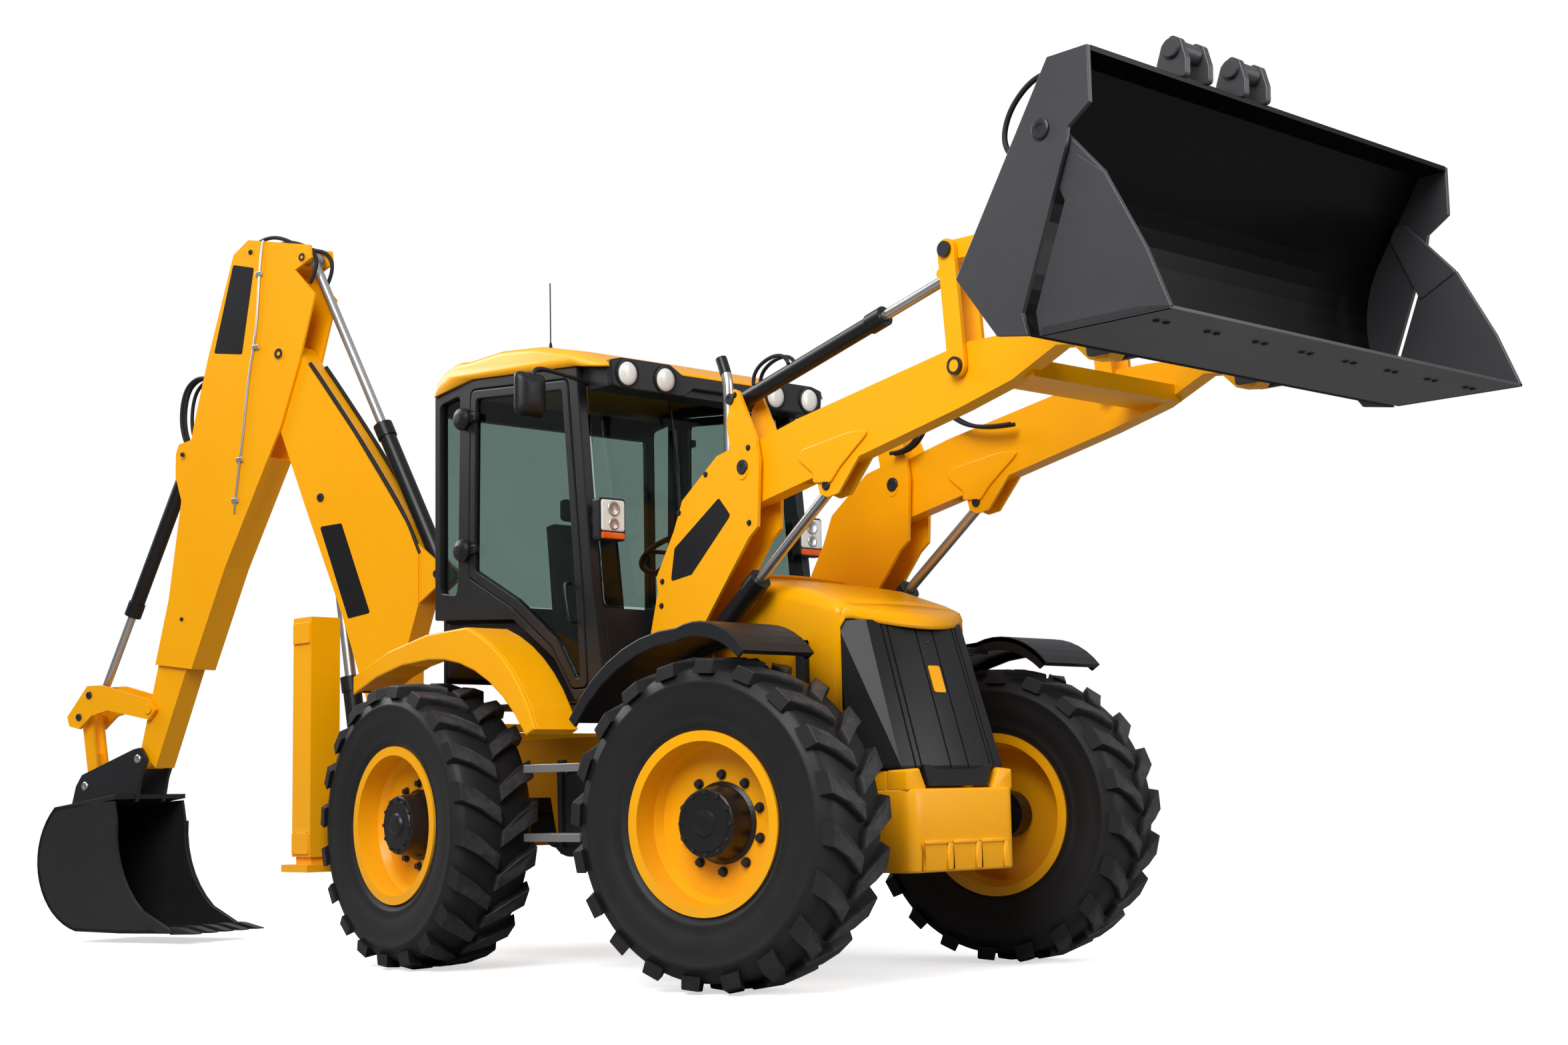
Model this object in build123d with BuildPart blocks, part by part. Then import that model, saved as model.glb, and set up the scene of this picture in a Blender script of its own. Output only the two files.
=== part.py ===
"""Backhoe loader with four equal steered wheels, a clam loader bucket at the front
and a side-shift backhoe with an extending dipper at the rear.

Frame: +X forward, +Y to the left, +Z up, ground at Z = 0, millimetres.
Outlines in the SIDE plane are measured forward from the rear axle and up from the ground.
Outlines in the HOE plane are measured outward from the slew axis and up from the ground.
"""
from build123d import *
from math import atan2, cos, degrees, hypot, radians, sin
import os

os.makedirs("parts", exist_ok=True)

# ---------------------------------------------------------------- driving dimensions
rear_axle_x = -333          # the rear axle, from the middle of the whole machine
wheelbase = 2220
half_track = 975.5
tyre_radius = 707
tyre_half_width = 220
bead_radius = 356
king_pin_y = 772            # the kingpins stand inside the rims
front_steer = 12.4          # wheels stand turned, degrees to the left
rear_steer = -2.9
running_gap = 6             # between pieces that move past each other

slew_x = -1360              # slew axis, from the rear axle
slew_angle = 18             # the boom stands swung to the right
frame_half_width = 330      # main chassis rails

arm_plane = 493             # middle of each loader arm, from the centre line
arm_half = 45
arm_pivot = (1955, 2290)
bucket_pin = (4045, 2560)
lever_pin = (3282, 2577)
lever_top = (3240, 3082)
tip_rod_pin = (3206, 2985)
tip_ram_pin = (1880, 2640)
link_pin = (4003, 3065)     # upper bucket pin
lift_rod_pin = (2468, 2175)
lift_ram_pin = (1330, 1310)

boom_foot = (250, 900)
dipper_pin = (1120, 3560)
boom_ram_foot = (455, 430)
boom_ram_head = (802, 2647)
dipper_ram_foot = (-70, 2130)
dipper_ram_head = (940, 4140)
hoe_ram_foot = (1915, 3030)
hoe_ram_head = (2659, 1531)
bell_pin = (2146, 1422)
hoe_link_top = (2745, 1395)
nose_pin = (2218, 1118)
hitch_pin = (2667, 958)

SIDE = Plane(origin=(rear_axle_x, 0, 0), x_dir=(1, 0, 0), z_dir=(0, -1, 0))
out_x, out_y = -cos(radians(slew_angle)), -sin(radians(slew_angle))
HOE = Plane(origin=(rear_axle_x + slew_x, 0, 0), x_dir=(out_x, out_y, 0), z_dir=(out_y, -out_x, 0))


# ---------------------------------------------------------------- shared shapes
def slab(plane, outline, low, high, mode=Mode.ADD):
    """A flat plate: an outline in the plane, thick from low to high along its normal."""
    with BuildSketch(plane.offset(low)) as profile:
        with BuildLine():
            Polyline(*outline, close=True)
        make_face()
    extrude(profile.sketch, amount=high - low, mode=mode)


def disc(plane, centre, radius, low, high, mode=Mode.ADD):
    """A round boss, pin or hole across the plane."""
    with BuildSketch(plane.offset(low)) as profile:
        with Locations(centre):
            Circle(radius)
    extrude(profile.sketch, amount=high - low, mode=mode)


def strap(plane, start, end, width, low, high, mode=Mode.ADD):
    """A flat link with round ends over two pins."""
    run, rise = end[0] - start[0], end[1] - start[1]
    middle = ((start[0] + end[0]) / 2, (start[1] + end[1]) / 2, 0)
    with BuildSketch(plane.offset(low)) as profile:
        with Locations(Location(middle, (0, 0, degrees(atan2(rise, run))))):
            SlotCenterToCenter(hypot(run, rise), width)
    extrude(profile.sketch, amount=high - low, mode=mode)


def between(start, end, distance):
    """The point at a distance from start towards end."""
    share = distance / hypot(end[0] - start[0], end[1] - start[1])
    return (start[0] + share * (end[0] - start[0]), start[1] + share * (end[1] - start[1]))


def round_bar(plane, start, end, radius, across, mode=Mode.ADD):
    """A round bar in the plane, at a distance across it, from start to end."""
    foot = plane.from_local_coords((start[0], start[1], across))
    head = plane.from_local_coords((end[0], end[1], across))
    with BuildSketch(Plane(origin=foot, z_dir=head - foot)) as profile:
        Circle(radius)
    extrude(profile.sketch, amount=(head - foot).length, mode=mode)


def block(x_range, y_range, z_range, mode=Mode.ADD):
    """A square block, its X measured from the rear axle."""
    size = [high - low for low, high in (x_range, y_range, z_range)]
    middle = [(low + high) / 2 for low, high in (x_range, y_range, z_range)]
    with Locations((middle[0] + rear_axle_x, middle[1], middle[2])):
        Box(*size, mode=mode)


def ram_barrel(plane, foot, head, length, radius, bore, across, eye_half):
    """Cylinder tube with its foot eye and gland ring, open for the rod."""
    round_bar(plane, between(foot, head, 0.75 * radius), between(foot, head, length), radius, across)
    round_bar(plane, between(foot, head, length - 90), between(foot, head, length), radius + 8, across)
    disc(plane, foot, radius, across - eye_half, across + eye_half)
    tube_start = between(foot, head, radius + 25)
    round_bar(plane, tube_start, between(foot, head, length + 5), bore, across, Mode.SUBTRACT)


def ram_rod(plane, foot, head, start, radius, across, eye_radius, eye_half):
    """Chrome rod with the eye at its head, from a distance past the foot pin."""
    round_bar(plane, between(foot, head, start), head, radius, across)
    disc(plane, head, eye_radius, across - eye_half, across + eye_half)


def finish(piece, name):
    piece.part.label = name
    export_step(piece.part, f"parts/{name}.step")


both_sides = (-1, 1)

# ---------------------------------------------------------------- main frame
rail_outline = [(-900, 600), (-230, 600), (-170, 830), (170, 830), (230, 600), (1990, 600), (2050, 830), (2370, 830),
                (2400, 700), (2400, 930), (1900, 1130), (-900, 1130)]
with BuildPart() as mainframe:
    for side in both_sides:
        y_span = sorted((side * frame_half_width, side * (frame_half_width - 25)))
        slab(SIDE, rail_outline, -y_span[1], -y_span[0])
    for x in (-860, -380, 420, 1250, 1800, 2380):
        block((x - 20, x + 20), (-(frame_half_width - 25), frame_half_width - 25), (920, 1040))
finish(mainframe, "mainframe")

with BuildPart() as loader_towers:
    tower = [(1901, 2685), (1935, 2670), (2048, 2442), (2068, 2332), (2050, 2030), (1975, 1985), (1360, 1650),
             (1334, 1858), (1466, 2068), (1529, 2205), (1779, 2386), (1875, 2408), (1850, 2530)]
    brace = [(2050, 2030), (1990, 1985), (1560, 1480), (1560, 985), (1260, 985), (1260, 1500), (1360, 1850),
             (1480, 2068)]
    for side in both_sides:
        outer = sorted((side * (arm_plane + 62), side * (arm_plane + 80)))
        inner = sorted((side * (arm_plane - 80), side * (arm_plane - 62)))
        for y_span in (outer, inner):
            slab(SIDE, tower, -y_span[1], -y_span[0])
        for y_span in (outer, inner):
            slab(SIDE, brace, -y_span[1], -y_span[0])
        for centre, radius in ((arm_pivot, 34), (tip_ram_pin, 24), (lift_ram_pin, 28)):
            disc(SIDE, centre, radius, -side * arm_plane - 84, -side * arm_plane + 84)
        web = sorted((side * (arm_plane - 62), side * (arm_plane + 62)))
        block((1262, 1276), web, (990, 1480))
        block((1300, 1400), sorted((side * frame_half_width, side * (arm_plane - 80))), (1000, 1125))
        block((1262, 1560), sorted((side * frame_half_width, side * (arm_plane + 80))), (980, 1010))
finish(loader_towers, "loader_towers")

# ---------------------------------------------------------------- axles and wheels
axle_z = tyre_radius
yoke_reach = 150            # half height between the yoke's arms

with BuildPart() as axles:
    for axle_x in (0, wheelbase):
        centre = (rear_axle_x + axle_x, 0, axle_z)
        with BuildSketch(Plane(origin=centre, z_dir=(0, 1, 0))) as tube:
            Circle(85)
        extrude(tube.sketch, amount=king_pin_y - 95, both=True)
        with Locations(Location(centre, (90, 0, 0))):
            Cylinder(190, 150)
            Cylinder(140, 330)
        for side in both_sides:
            yoke = sorted((side * (king_pin_y - 115), side * (king_pin_y - 85)))
            arm = sorted((side * (king_pin_y - 115), side * (king_pin_y + 42)))
            block((axle_x - 55, axle_x + 55), yoke, (axle_z - yoke_reach - 32, axle_z + yoke_reach + 32))
            for low in (-yoke_reach - 32, yoke_reach):
                block((axle_x - 48, axle_x + 48), arm, (axle_z + low, axle_z + low + 32))
            with Locations((rear_axle_x + axle_x, side * king_pin_y, axle_z)):
                Cylinder(26, 2 * yoke_reach + 10)
            with Locations((rear_axle_x + axle_x, side * king_pin_y, axle_z)):
                Cylinder(40, 2 * yoke_reach - 120, mode=Mode.SUBTRACT)
    for axle_x in (0, wheelbase):
        for side in both_sides:
            block((axle_x - 70, axle_x + 70), sorted((side * (frame_half_width - 90), side * frame_half_width)),
                  (axle_z + 20, 830))
finish(axles, "axles")

# a wheel's own frame: its axle along Y, outward +Y, the tyre's middle at the origin
pin_inset = half_track - king_pin_y
with BuildPart() as knuckle_form:
    with Locations((0, -pin_inset, 0)):
        Cylinder(54, 2 * (yoke_reach - running_gap))
        Cylinder(27, 2 * yoke_reach, mode=Mode.SUBTRACT)
    with Locations(Location((0, -pin_inset / 2, 0), (90, 0, 0))):
        Cylinder(50, pin_inset)
    with Locations(Location((0, -60, 0), (90, 0, 0))):
        Cylinder(112, 100)
    with Locations(Location((0, 45, 0), (90, 0, 0))):
        Cylinder(60, 110)
    with Locations((0, -pin_inset, 0)):
        Cylinder(27, 2 * yoke_reach, mode=Mode.SUBTRACT)

rim_profile = [(-190, 390), (-178, 390), (-178, 356), (-140, 352), (-110, 330), (20, 330), (60, 352), (178, 356),
               (178, 390), (190, 390), (190, 346), (75, 342), (34, 318), (34, 160), (150, 140), (150, 0),
               (106, 0), (106, 61), (8, 61), (8, 318), (-112, 318), (-145, 342), (-190, 346)]
with BuildPart() as rim_form:
    with BuildSketch(Plane.YZ) as section:
        with BuildLine():
            Polyline(*rim_profile, close=True)
        make_face()
    revolve(section.sketch, axis=Axis.Y)

tyre_profile = [(-176, 357.5), (-176, 393), (-205, 425), (-220, 540), (-216, 640), (-200, 690), (-120, 705),
                (0, 707), (120, 705), (200, 690), (216, 640), (220, 540), (205, 425), (176, 393), (176, 357.5)]
with BuildPart() as tyre_form:
    with BuildSketch(Plane.YZ) as section:
        with BuildLine():
            Polyline(*tyre_profile, close=True)
        make_face()
    revolve(section.sketch, axis=Axis.Y)

# corner, place forward, side, angle the wheel stands turned
corners = [("front_left", wheelbase, 1, front_steer), ("front_right", wheelbase, -1, front_steer),
           ("rear_left", 0, 1, rear_steer), ("rear_right", 0, -1, rear_steer)]
for corner, place_x, side, turned in corners:
    pin = Location((rear_axle_x + place_x, side * king_pin_y, axle_z), (0, 0, turned))
    wheel = pin * Location((0, side * pin_inset, 0), (0, 0, 0 if side > 0 else 180))
    for form, kind in ((knuckle_form, "knuckle"), (rim_form, "rim"), (tyre_form, "tyre")):
        with BuildPart() as placed:
            with Locations(wheel):
                add(form.part)
        finish(placed, f"{kind}_{corner}")

# ---------------------------------------------------------------- engine, nose, grille and bonnet
bonnet_half = 404
sheet = 12
bonnet_hinge = (1580, 1762)
exhaust_at = (1440, -190)

with BuildPart() as engine:
    block((1330, 2150), (-250, 250), (1050, 1460))
finish(engine, "engine")

with BuildPart() as nose:
    block((2570, 2650), (-450, 450), (474, 930))
    block((2410, 2570), (-450, 450), (480, 630))
    for side in both_sides:
        block((2410, 2570), sorted((side * frame_half_width, side * 450)), (630, 890))
    block((2560, 2655), (-230, 230), (800, 935), Mode.SUBTRACT)
    for y in (-260, 0, 260):
        block((2600, 2655), (y - 75, y + 75), (465, 600), Mode.SUBTRACT)
finish(nose, "nose")

with BuildPart() as grille:
    slab(SIDE, [(2392, 1590), (2566, 955), (2480, 925), (2300, 1560)], -385, 385)
    slab(SIDE, [(2340, 1530), (2510, 1000), (2480, 925), (2300, 1500)], -365, 365, Mode.SUBTRACT)
    slab(SIDE, [(2300, 900), (2480, 925), (2566, 955), (2566, 935), (2480, 900)], -300, 300)
finish(grille, "grille")

bonnet_side = [(1568, 1450), (1568, 1782), (1700, 1772), (2100, 1712), (2340, 1645), (2408, 1600), (2575, 990),
               (2480, 1150), (1800, 1450)]
bonnet_inside = [(1560, 1430), (1560, 1771), (1700, 1760), (2097, 1700), (2334, 1634), (2396, 1598), (2600, 850),
                 (1800, 850)]
with BuildPart() as bonnet:
    slab(SIDE, bonnet_side, -bonnet_half, bonnet_half)
    slab(SIDE, bonnet_inside, -bonnet_half + sheet, bonnet_half - sheet, Mode.SUBTRACT)
    for side in both_sides:
        disc(SIDE, bonnet_hinge, 9, *sorted((side * 300, side * 330)))
        block((1576, 1592), sorted((side * 300, side * 330)), (1762, 1773))
    disc(SIDE, bonnet_hinge, 4.8, -331, 331, Mode.SUBTRACT)
finish(bonnet, "bonnet")

# ---------------------------------------------------------------- cab
cab_half = 735
door_hinge_x = 10           # door hinge pins, from the rear axle
hinge_y = cab_half + 14
hinge_heights = (2102, 2790)
pillar = 55
roof_z = 2925
cab_outline = [(-285, 1760), (-285, roof_z), (935, roof_z), (1050, 1800), (1140, 1290), (900, 1290), (740, 1500),
               (400, 1720)]
door_opening = [(40, 2880), (868, 2880), (978, 1790), (1010, 1345), (880, 1345), (725, 1555), (400, 1775), (20, 1960)]
quarter_opening = [(-235, 1900), (-235, 2880), (-55, 2880), (-75, 1960), (-90, 1880)]

with BuildPart() as cab_frame:
    for side in both_sides:
        y_span = sorted((side * (cab_half - pillar), side * cab_half))
        slab(SIDE, cab_outline, -y_span[1], -y_span[0])
        slab(SIDE, door_opening, -y_span[1] - 5, -y_span[0] + 5, Mode.SUBTRACT)
        slab(SIDE, quarter_opening, -y_span[1] - 5, -y_span[0] + 5, Mode.SUBTRACT)
    inner = cab_half - pillar
    block((-285, 1140), (-inner + 250, inner - 250), (1290, 1320))
    for side in both_sides:
        block((640, 1140), sorted((side * (inner - 260), side * inner)), (1290, 1320))
        block((-285, 1140), sorted((side * (inner - 250), side * (inner - 262))), (1290, 1560))
    slab(SIDE, [(-285, 1430), (-285, 1850), (-255, 1850), (-255, 1430)], -inner, inner)
    slab(SIDE, [(-285, 1320), (-285, 1430), (-255, 1430), (-255, 1320)], -inner + 250, inner - 250)
    slab(SIDE, [(1140, 1290), (1062, 1730), (1032, 1730), (1105, 1290)], -inner, inner)
    block((-285, -225), (-inner, inner), (2840, roof_z))
    slab(SIDE, [(944, 2840), (935, roof_z), (870, roof_z), (880, 2840)], -inner, inner)
    for low, high in ((inner - 250, inner), (-inner, -inner + 250)):
        slab(SIDE, [(-255, 1450), (-255, 1740), (400, 1700), (700, 1500), (640, 1450), (420, 1540), (60, 1600)],
             low, high)
    for side in both_sides:
        for z in hinge_heights:
            for low in (-42, 32):
                block((-40, door_hinge_x + 8), sorted((side * cab_half, side * (hinge_y + 8))), (z + low, z + low + 10))
            with Locations((rear_axle_x + door_hinge_x, side * hinge_y, z)):
                Cylinder(6, 84)
finish(cab_frame, "cab_frame")

with BuildPart() as cab_roof:
    with BuildSketch(Plane.XY.offset(roof_z + 1)):
        with Locations((rear_axle_x + 385, 0)):
            RectangleRounded(1400, 1480, 140)
    extrude(amount=104, taper=20)
    with BuildSketch(Plane.XY.offset(roof_z + 1)):
        with Locations((rear_axle_x + 1030, 0)):
            Rectangle(140, 1300)
    extrude(amount=-110)
finish(cab_roof, "cab_roof")

with BuildPart() as cab_glass:
    slab(SIDE, [(1066, 1740), (1060, 1740), (946, 2835), (952, 2835)], -inner + 4, inner - 4)
    block((-275, -269), (-inner + 4, inner - 4), (1854, 2836))
    for side in both_sides:
        y_span = sorted((side * (cab_half - 30), side * (cab_half - 24)))
        slab(SIDE, [(-231, 1904), (-231, 2876), (-59, 2876), (-79, 1960), (-93, 1886)], -y_span[1], -y_span[0])
finish(cab_glass, "cab_glass")

door_outline = [(46, 2874), (862, 2874), (972, 1790), (1004, 1351), (884, 1351), (729, 1560), (403, 1781), (26, 1964)]
door_pane = [(96, 2824), (817, 2824), (919, 1790), (948, 1405), (912, 1405), (764, 1602), (435, 1827), (78, 1996)]
for hand, side in (("right", -1), ("left", 1)):
    with BuildPart() as door:
        y_span = sorted((side * (cab_half - 36), side * (cab_half + 2)))
        slab(SIDE, door_outline, -y_span[1], -y_span[0])
        slab(SIDE, door_pane, -y_span[1] - 5, -y_span[0] + 5, Mode.SUBTRACT)
        pane = sorted((side * (cab_half - 20), side * (cab_half - 14)))
        slab(SIDE, [(x, z) for x, z in door_pane], -pane[1], -pane[0])
        for z in hinge_heights:
            block((door_hinge_x, 70), sorted((side * (cab_half + 2), side * (cab_half + 10))), (z - 30, z + 30))
            with Locations((rear_axle_x + door_hinge_x, side * hinge_y, z)):
                Cylinder(12, 60)
                Cylinder(6.3, 62, mode=Mode.SUBTRACT)
    finish(door, f"door_{hand}")

with BuildPart() as seat:
    block((180, 420), (-120, 120), (1320, 1480))
    block((60, 540), (-250, 250), (1480, 1620))
    slab(SIDE, [(40, 1625), (160, 1625), (80, 2280), (-30, 2280)], -240, 240)
finish(seat, "seat")

with BuildPart() as console:
    slab(SIDE, [(850, 1320), (1030, 1320), (1010, 1700), (900, 1960), (840, 1960), (900, 1650)], -110, 110)
    round_bar(SIDE, (870, 1940), (820, 2040), 22, 0)
    with Locations(Location((rear_axle_x + 812, 0, 2056), (0, -27, 0))):
        Torus(190, 14)
        Cylinder(60, 20)
        Box(380, 24, 10)
        Box(24, 380, 10)
finish(console, "console")

with BuildPart() as cowl:
    slab(SIDE, [(1190, 1450), (1190, 1806), (1553, 1784), (1553, 1450)], -bonnet_half, bonnet_half)
    slab(SIDE, [(1180, 1430), (1180, 1794), (1570, 1772), (1570, 1430)], -bonnet_half + sheet, bonnet_half - sheet,
         Mode.SUBTRACT)
    for side in both_sides:
        block((1525, 1540), sorted((side * 338, side * 350)), (1736, 1776))
        block((1525, 1586), sorted((side * 338, side * 350)), (1736, 1750))
        block((1575, 1586), sorted((side * 338, side * 350)), (1738, 1766))
        disc(SIDE, bonnet_hinge, 4.5, *sorted((side * 297, side * 350)))
    with Locations((rear_axle_x + exhaust_at[0], exhaust_at[1], 2150)):
        Cylinder(34, 900)
    with Locations((rear_axle_x + exhaust_at[0], exhaust_at[1], 2660)):
        Cylinder(26, 180)
finish(cowl, "cowl")

# ---------------------------------------------------------------- fenders, steps and tanks
front_fender = [(1409, 1176), (1596, 1361), (1870, 1493), (2129, 1537), (2524, 1521), (2600, 1416), (2578, 1402),
                (2510, 1495), (2131, 1511), (1878, 1468), (1612, 1340), (1428, 1160)]
with BuildPart() as front_fenders:
    for side in both_sides:
        y_span = sorted((side * 760, side * 1165))
        slab(SIDE, front_fender, -y_span[1], -y_span[0])
        block((2140, 2200), sorted((side * 412, side * 800)), (1480, 1510))
        block((2140, 2200), sorted((side * 412, side * 436)), (1010, 1510))
        block((2140, 2200), sorted((side * frame_half_width, side * 436)), (985, 1015))
finish(front_fenders, "front_fenders")

rear_fender = [(-640, 1400), (-640, 1490), (-380, 1585), (380, 1672), (610, 1585), (790, 1405), (960, 1205),
               (960, 1120), (700, 1190), (560, 1340), (340, 1490), (60, 1560), (-200, 1540), (-420, 1450)]
with BuildPart() as rear_fenders:
    for side in both_sides:
        y_span = sorted((side * (cab_half + 8), side * 1010))
        slab(SIDE, rear_fender, -y_span[1], -y_span[0])
finish(rear_fenders, "rear_fenders")

with BuildPart() as steps_tanks:
    for side in both_sides:
        block((880, 1400), sorted((side * 360, side * 800)), (560, 960))
        for z in (644, 965):
            block((860, 1290), sorted((side * 800, side * 1010)), (z - 20, z + 20))
        for x in (870, 1270):
            block((x - 12, x + 12), sorted((side * 790, side * 1010)), (560, 1010))
finish(steps_tanks, "steps_tanks")

# ---------------------------------------------------------------- rear frame and stabilisers
leg_x = (-1000, -820)
leg_y = (975, 1150)
wall = 12
with BuildPart() as rear_frame:
    for side in both_sides:
        block(leg_x, sorted((side * leg_y[0], side * leg_y[1])), (545, 1804))
        block((leg_x[0] + wall, leg_x[1] - wall),
              sorted((side * (leg_y[0] + wall), side * (leg_y[1] - wall))), (500, 1790), Mode.SUBTRACT)
    block((-1000, -900), (-leg_y[0], leg_y[0]), (560, 640))
    block((-1000, -900), (-leg_y[0], leg_y[0]), (1120, 1200))
    for y in (-700, 0, 700):
        block((-960, -920), (y - 40, y + 40), (640, 1120))
finish(rear_frame, "rear_frame")

for hand, side in (("right", -1), ("left", 1)):
    with BuildPart() as stabiliser:
        block((leg_x[0] + wall + 4, leg_x[1] - wall - 4),
              sorted((side * (leg_y[0] + wall + 4), side * (leg_y[1] - wall - 4))), (505, 1700))
        block((leg_x[0] - 40, leg_x[1] + 40), sorted((side * (leg_y[0] - 40), side * (leg_y[1] + 40))), (467, 505))
    finish(stabiliser, f"stabiliser_leg_{hand}")

# ---------------------------------------------------------------- backhoe
with BuildPart() as carriage:
    block((-1062, -1006), (-330, 330), (480, 1250))
    block((-1006, -890), (-330, 330), (1206, 1250))
    block((-1006, -890), (-330, 330), (510, 554))
    for low in (540, 1160):
        with BuildSketch(Plane.XY.offset(low)) as lug:
            with BuildLine():
                Polyline((rear_axle_x - 1030, -280), (rear_axle_x - 1030, 280), (rear_axle_x - 1260, 90),
                         (rear_axle_x - 1410, 90), (rear_axle_x - 1410, -90), (rear_axle_x - 1260, -90), close=True)
            make_face()
            with Locations((rear_axle_x + slew_x, 0)):
                Circle(88)
        extrude(lug.sketch, amount=50)
    with Locations((rear_axle_x + slew_x, 0, 865)):
        Cylinder(45, 620)
        Cylinder(60, 420, mode=Mode.SUBTRACT)
finish(carriage, "carriage")

with BuildPart() as kingpost:
    with Locations((rear_axle_x + slew_x, 0, 875)):
        Cylinder(95, 560)
        Cylinder(46, 570, mode=Mode.SUBTRACT)
    for low, high in ((-130, -92), (92, 130)):
        slab(HOE, [(30, 1140), (200, 1090), (330, 960), (345, 860), (300, 780), (520, 480), (520, 380), (420, 370),
                   (150, 640), (30, 640)], low, high)
    slab(HOE, [(45, 640), (45, 1140), (95, 1120), (95, 640)], -130, 130)
    with Locations((rear_axle_x + slew_x, 0, 875)):
        Cylinder(46, 600, mode=Mode.SUBTRACT)
    disc(HOE, boom_foot, 30, -134, 134)
    disc(HOE, boom_ram_foot, 28, -134, 134)
finish(kingpost, "kingpost")

boom_side = [(180, 850), (320, 850), (400, 1300), (640, 1950), (900, 2550), (1130, 3100), (1210, 3560), (1120, 3650),
             (1010, 3600), (922, 3487), (556, 3020), (150, 2440), (64, 2250), (64, 1954), (150, 1700), (160, 1200)]
boom_hollow = [(330, 800), (420, 1290), (660, 1940), (925, 2545), (1050, 2850), (880, 2950), (560, 2860), (230, 2380),
               (130, 2200), (130, 1980), (210, 1720), (225, 1200), (180, 800)]
with BuildPart() as boom:
    slab(HOE, boom_side, -83, 83)
    slab(HOE, boom_hollow, -65, 65, Mode.SUBTRACT)
    disc(HOE, boom_foot, 75, -83, 83)
    disc(HOE, boom_foot, 31, -90, 90, Mode.SUBTRACT)
    disc(HOE, dipper_pin, 36, -90, 90, Mode.SUBTRACT)
    for low, high in ((-70, -53), (53, 70)):
        disc(HOE, boom_ram_head, 28, low, high)
    for low, high in ((-75, -58), (58, 75)):
        slab(HOE, [(-115, 2095), (-105, 2170), (90, 2330), (90, 1950)], low, high)
    disc(HOE, dipper_ram_foot, 24, -80, 80)
finish(boom, "boom")

with BuildPart() as boom_barrel:
    ram_barrel(HOE, boom_ram_foot, boom_ram_head, 1150, 55, 37, 0, 50)
    disc(HOE, boom_ram_foot, 29, -60, 60, Mode.SUBTRACT)
finish(boom_barrel, "boom_barrel")
with BuildPart() as boom_rod:
    ram_rod(HOE, boom_ram_foot, boom_ram_head, 1010, 33, 0, 50, 50)
finish(boom_rod, "boom_rod")

dipper_side = [(1000, 4070), (870, 4130), (880, 4210), (1380, 4310), (1500, 4230), (1700, 3600), (1800, 3230),
               (1880, 2900), (2003, 2100), (2107, 1700), (1805, 1660), (1537, 2278), (1103, 3110), (960, 3500),
               (840, 3900)]
with BuildPart() as dipper:
    for low, high in ((-105, -89), (89, 105)):
        slab(HOE, dipper_side, low, high)
    slab(HOE, [(1805, 1660), (1537, 2278), (1200, 2925), (1220, 2935), (1557, 2288), (1825, 1668)], -90, 90)
    slab(HOE, [(1120, 4238), (1120, 4258), (1380, 4310), (1500, 4230), (1490, 4210), (1375, 4290)], -90, 90)
    slab(HOE, [(1480, 4230), (1500, 4230), (1640, 3790), (1620, 3790)], -90, 90)
    disc(HOE, dipper_pin, 35, -112, 112)
    for low, high in ((-112, -49), (49, 112)):
        disc(HOE, dipper_ram_head, 28, low, high)
finish(dipper, "dipper")

with BuildPart() as dipper_barrel:
    ram_barrel(HOE, dipper_ram_foot, dipper_ram_head, 1043, 50, 33, 0, 48)
    disc(HOE, dipper_ram_foot, 25, -60, 60, Mode.SUBTRACT)
finish(dipper_barrel, "dipper_barrel")
with BuildPart() as dipper_rod:
    ram_rod(HOE, dipper_ram_foot, dipper_ram_head, 960, 29, 0, 48, 46)
finish(dipper_rod, "dipper_rod")

with BuildPart() as dipper_extension:
    slab(HOE, [(1700, 2640), (1890, 2680), (2000, 2100), (2105, 1690), (2240, 1180), (2115, 1060), (1870, 1660),
               (1610, 2290)], -80, 80)
    for low, high in ((-80, -56), (56, 80)):
        slab(HOE, [(1700, 2560), (1800, 3060), (1850, 3100), (1960, 3080), (1985, 3020), (1985, 2880), (1880, 2560)],
             low, high)
    disc(HOE, hoe_ram_foot, 25, -80, 80)
    disc(HOE, bell_pin, 26, -128, 128)
    disc(HOE, nose_pin, 62, -80, 80)
    disc(HOE, nose_pin, 27, -84, 84, Mode.SUBTRACT)
finish(dipper_extension, "dipper_extension")

with BuildPart() as hoe_ram_barrel:
    ram_barrel(HOE, hoe_ram_foot, hoe_ram_head, 1120, 45, 29, 0, 45)
    disc(HOE, hoe_ram_foot, 26, -60, 60, Mode.SUBTRACT)
finish(hoe_ram_barrel, "hoe_ram_barrel")
with BuildPart() as hoe_ram_rod:
    ram_rod(HOE, hoe_ram_foot, hoe_ram_head, 590, 25, 0, 42, 27)
finish(hoe_ram_rod, "hoe_ram_rod")

with BuildPart() as bellcrank:
    for low, high in ((-116, -92), (92, 116)):
        slab(HOE, [(2146, 1360), (2090, 1420), (2150, 1485), (2560, 1590), (2680, 1590), (2850, 1400), (2830, 1340),
                   (2745, 1320), (2640, 1400), (2500, 1430)], low, high)
        disc(HOE, bell_pin, 27, low - 5, high + 5, Mode.SUBTRACT)
    for low, high in ((-116, -31), (31, 116)):
        disc(HOE, hoe_ram_head, 25, low, high)
        disc(HOE, hoe_link_top, 24, low, high)
finish(bellcrank, "bellcrank")

with BuildPart() as hoe_link:
    for low, high in ((-52, -32), (32, 52)):
        strap(HOE, hoe_link_top, hitch_pin, 84, low, high)
    slab(HOE, [(2665, 1060), (2720, 1064), (2728, 1160), (2682, 1164)], -34, 34)
    disc(HOE, hoe_link_top, 25, -60, 60, Mode.SUBTRACT)
finish(hoe_link, "hoe_link")

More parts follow.
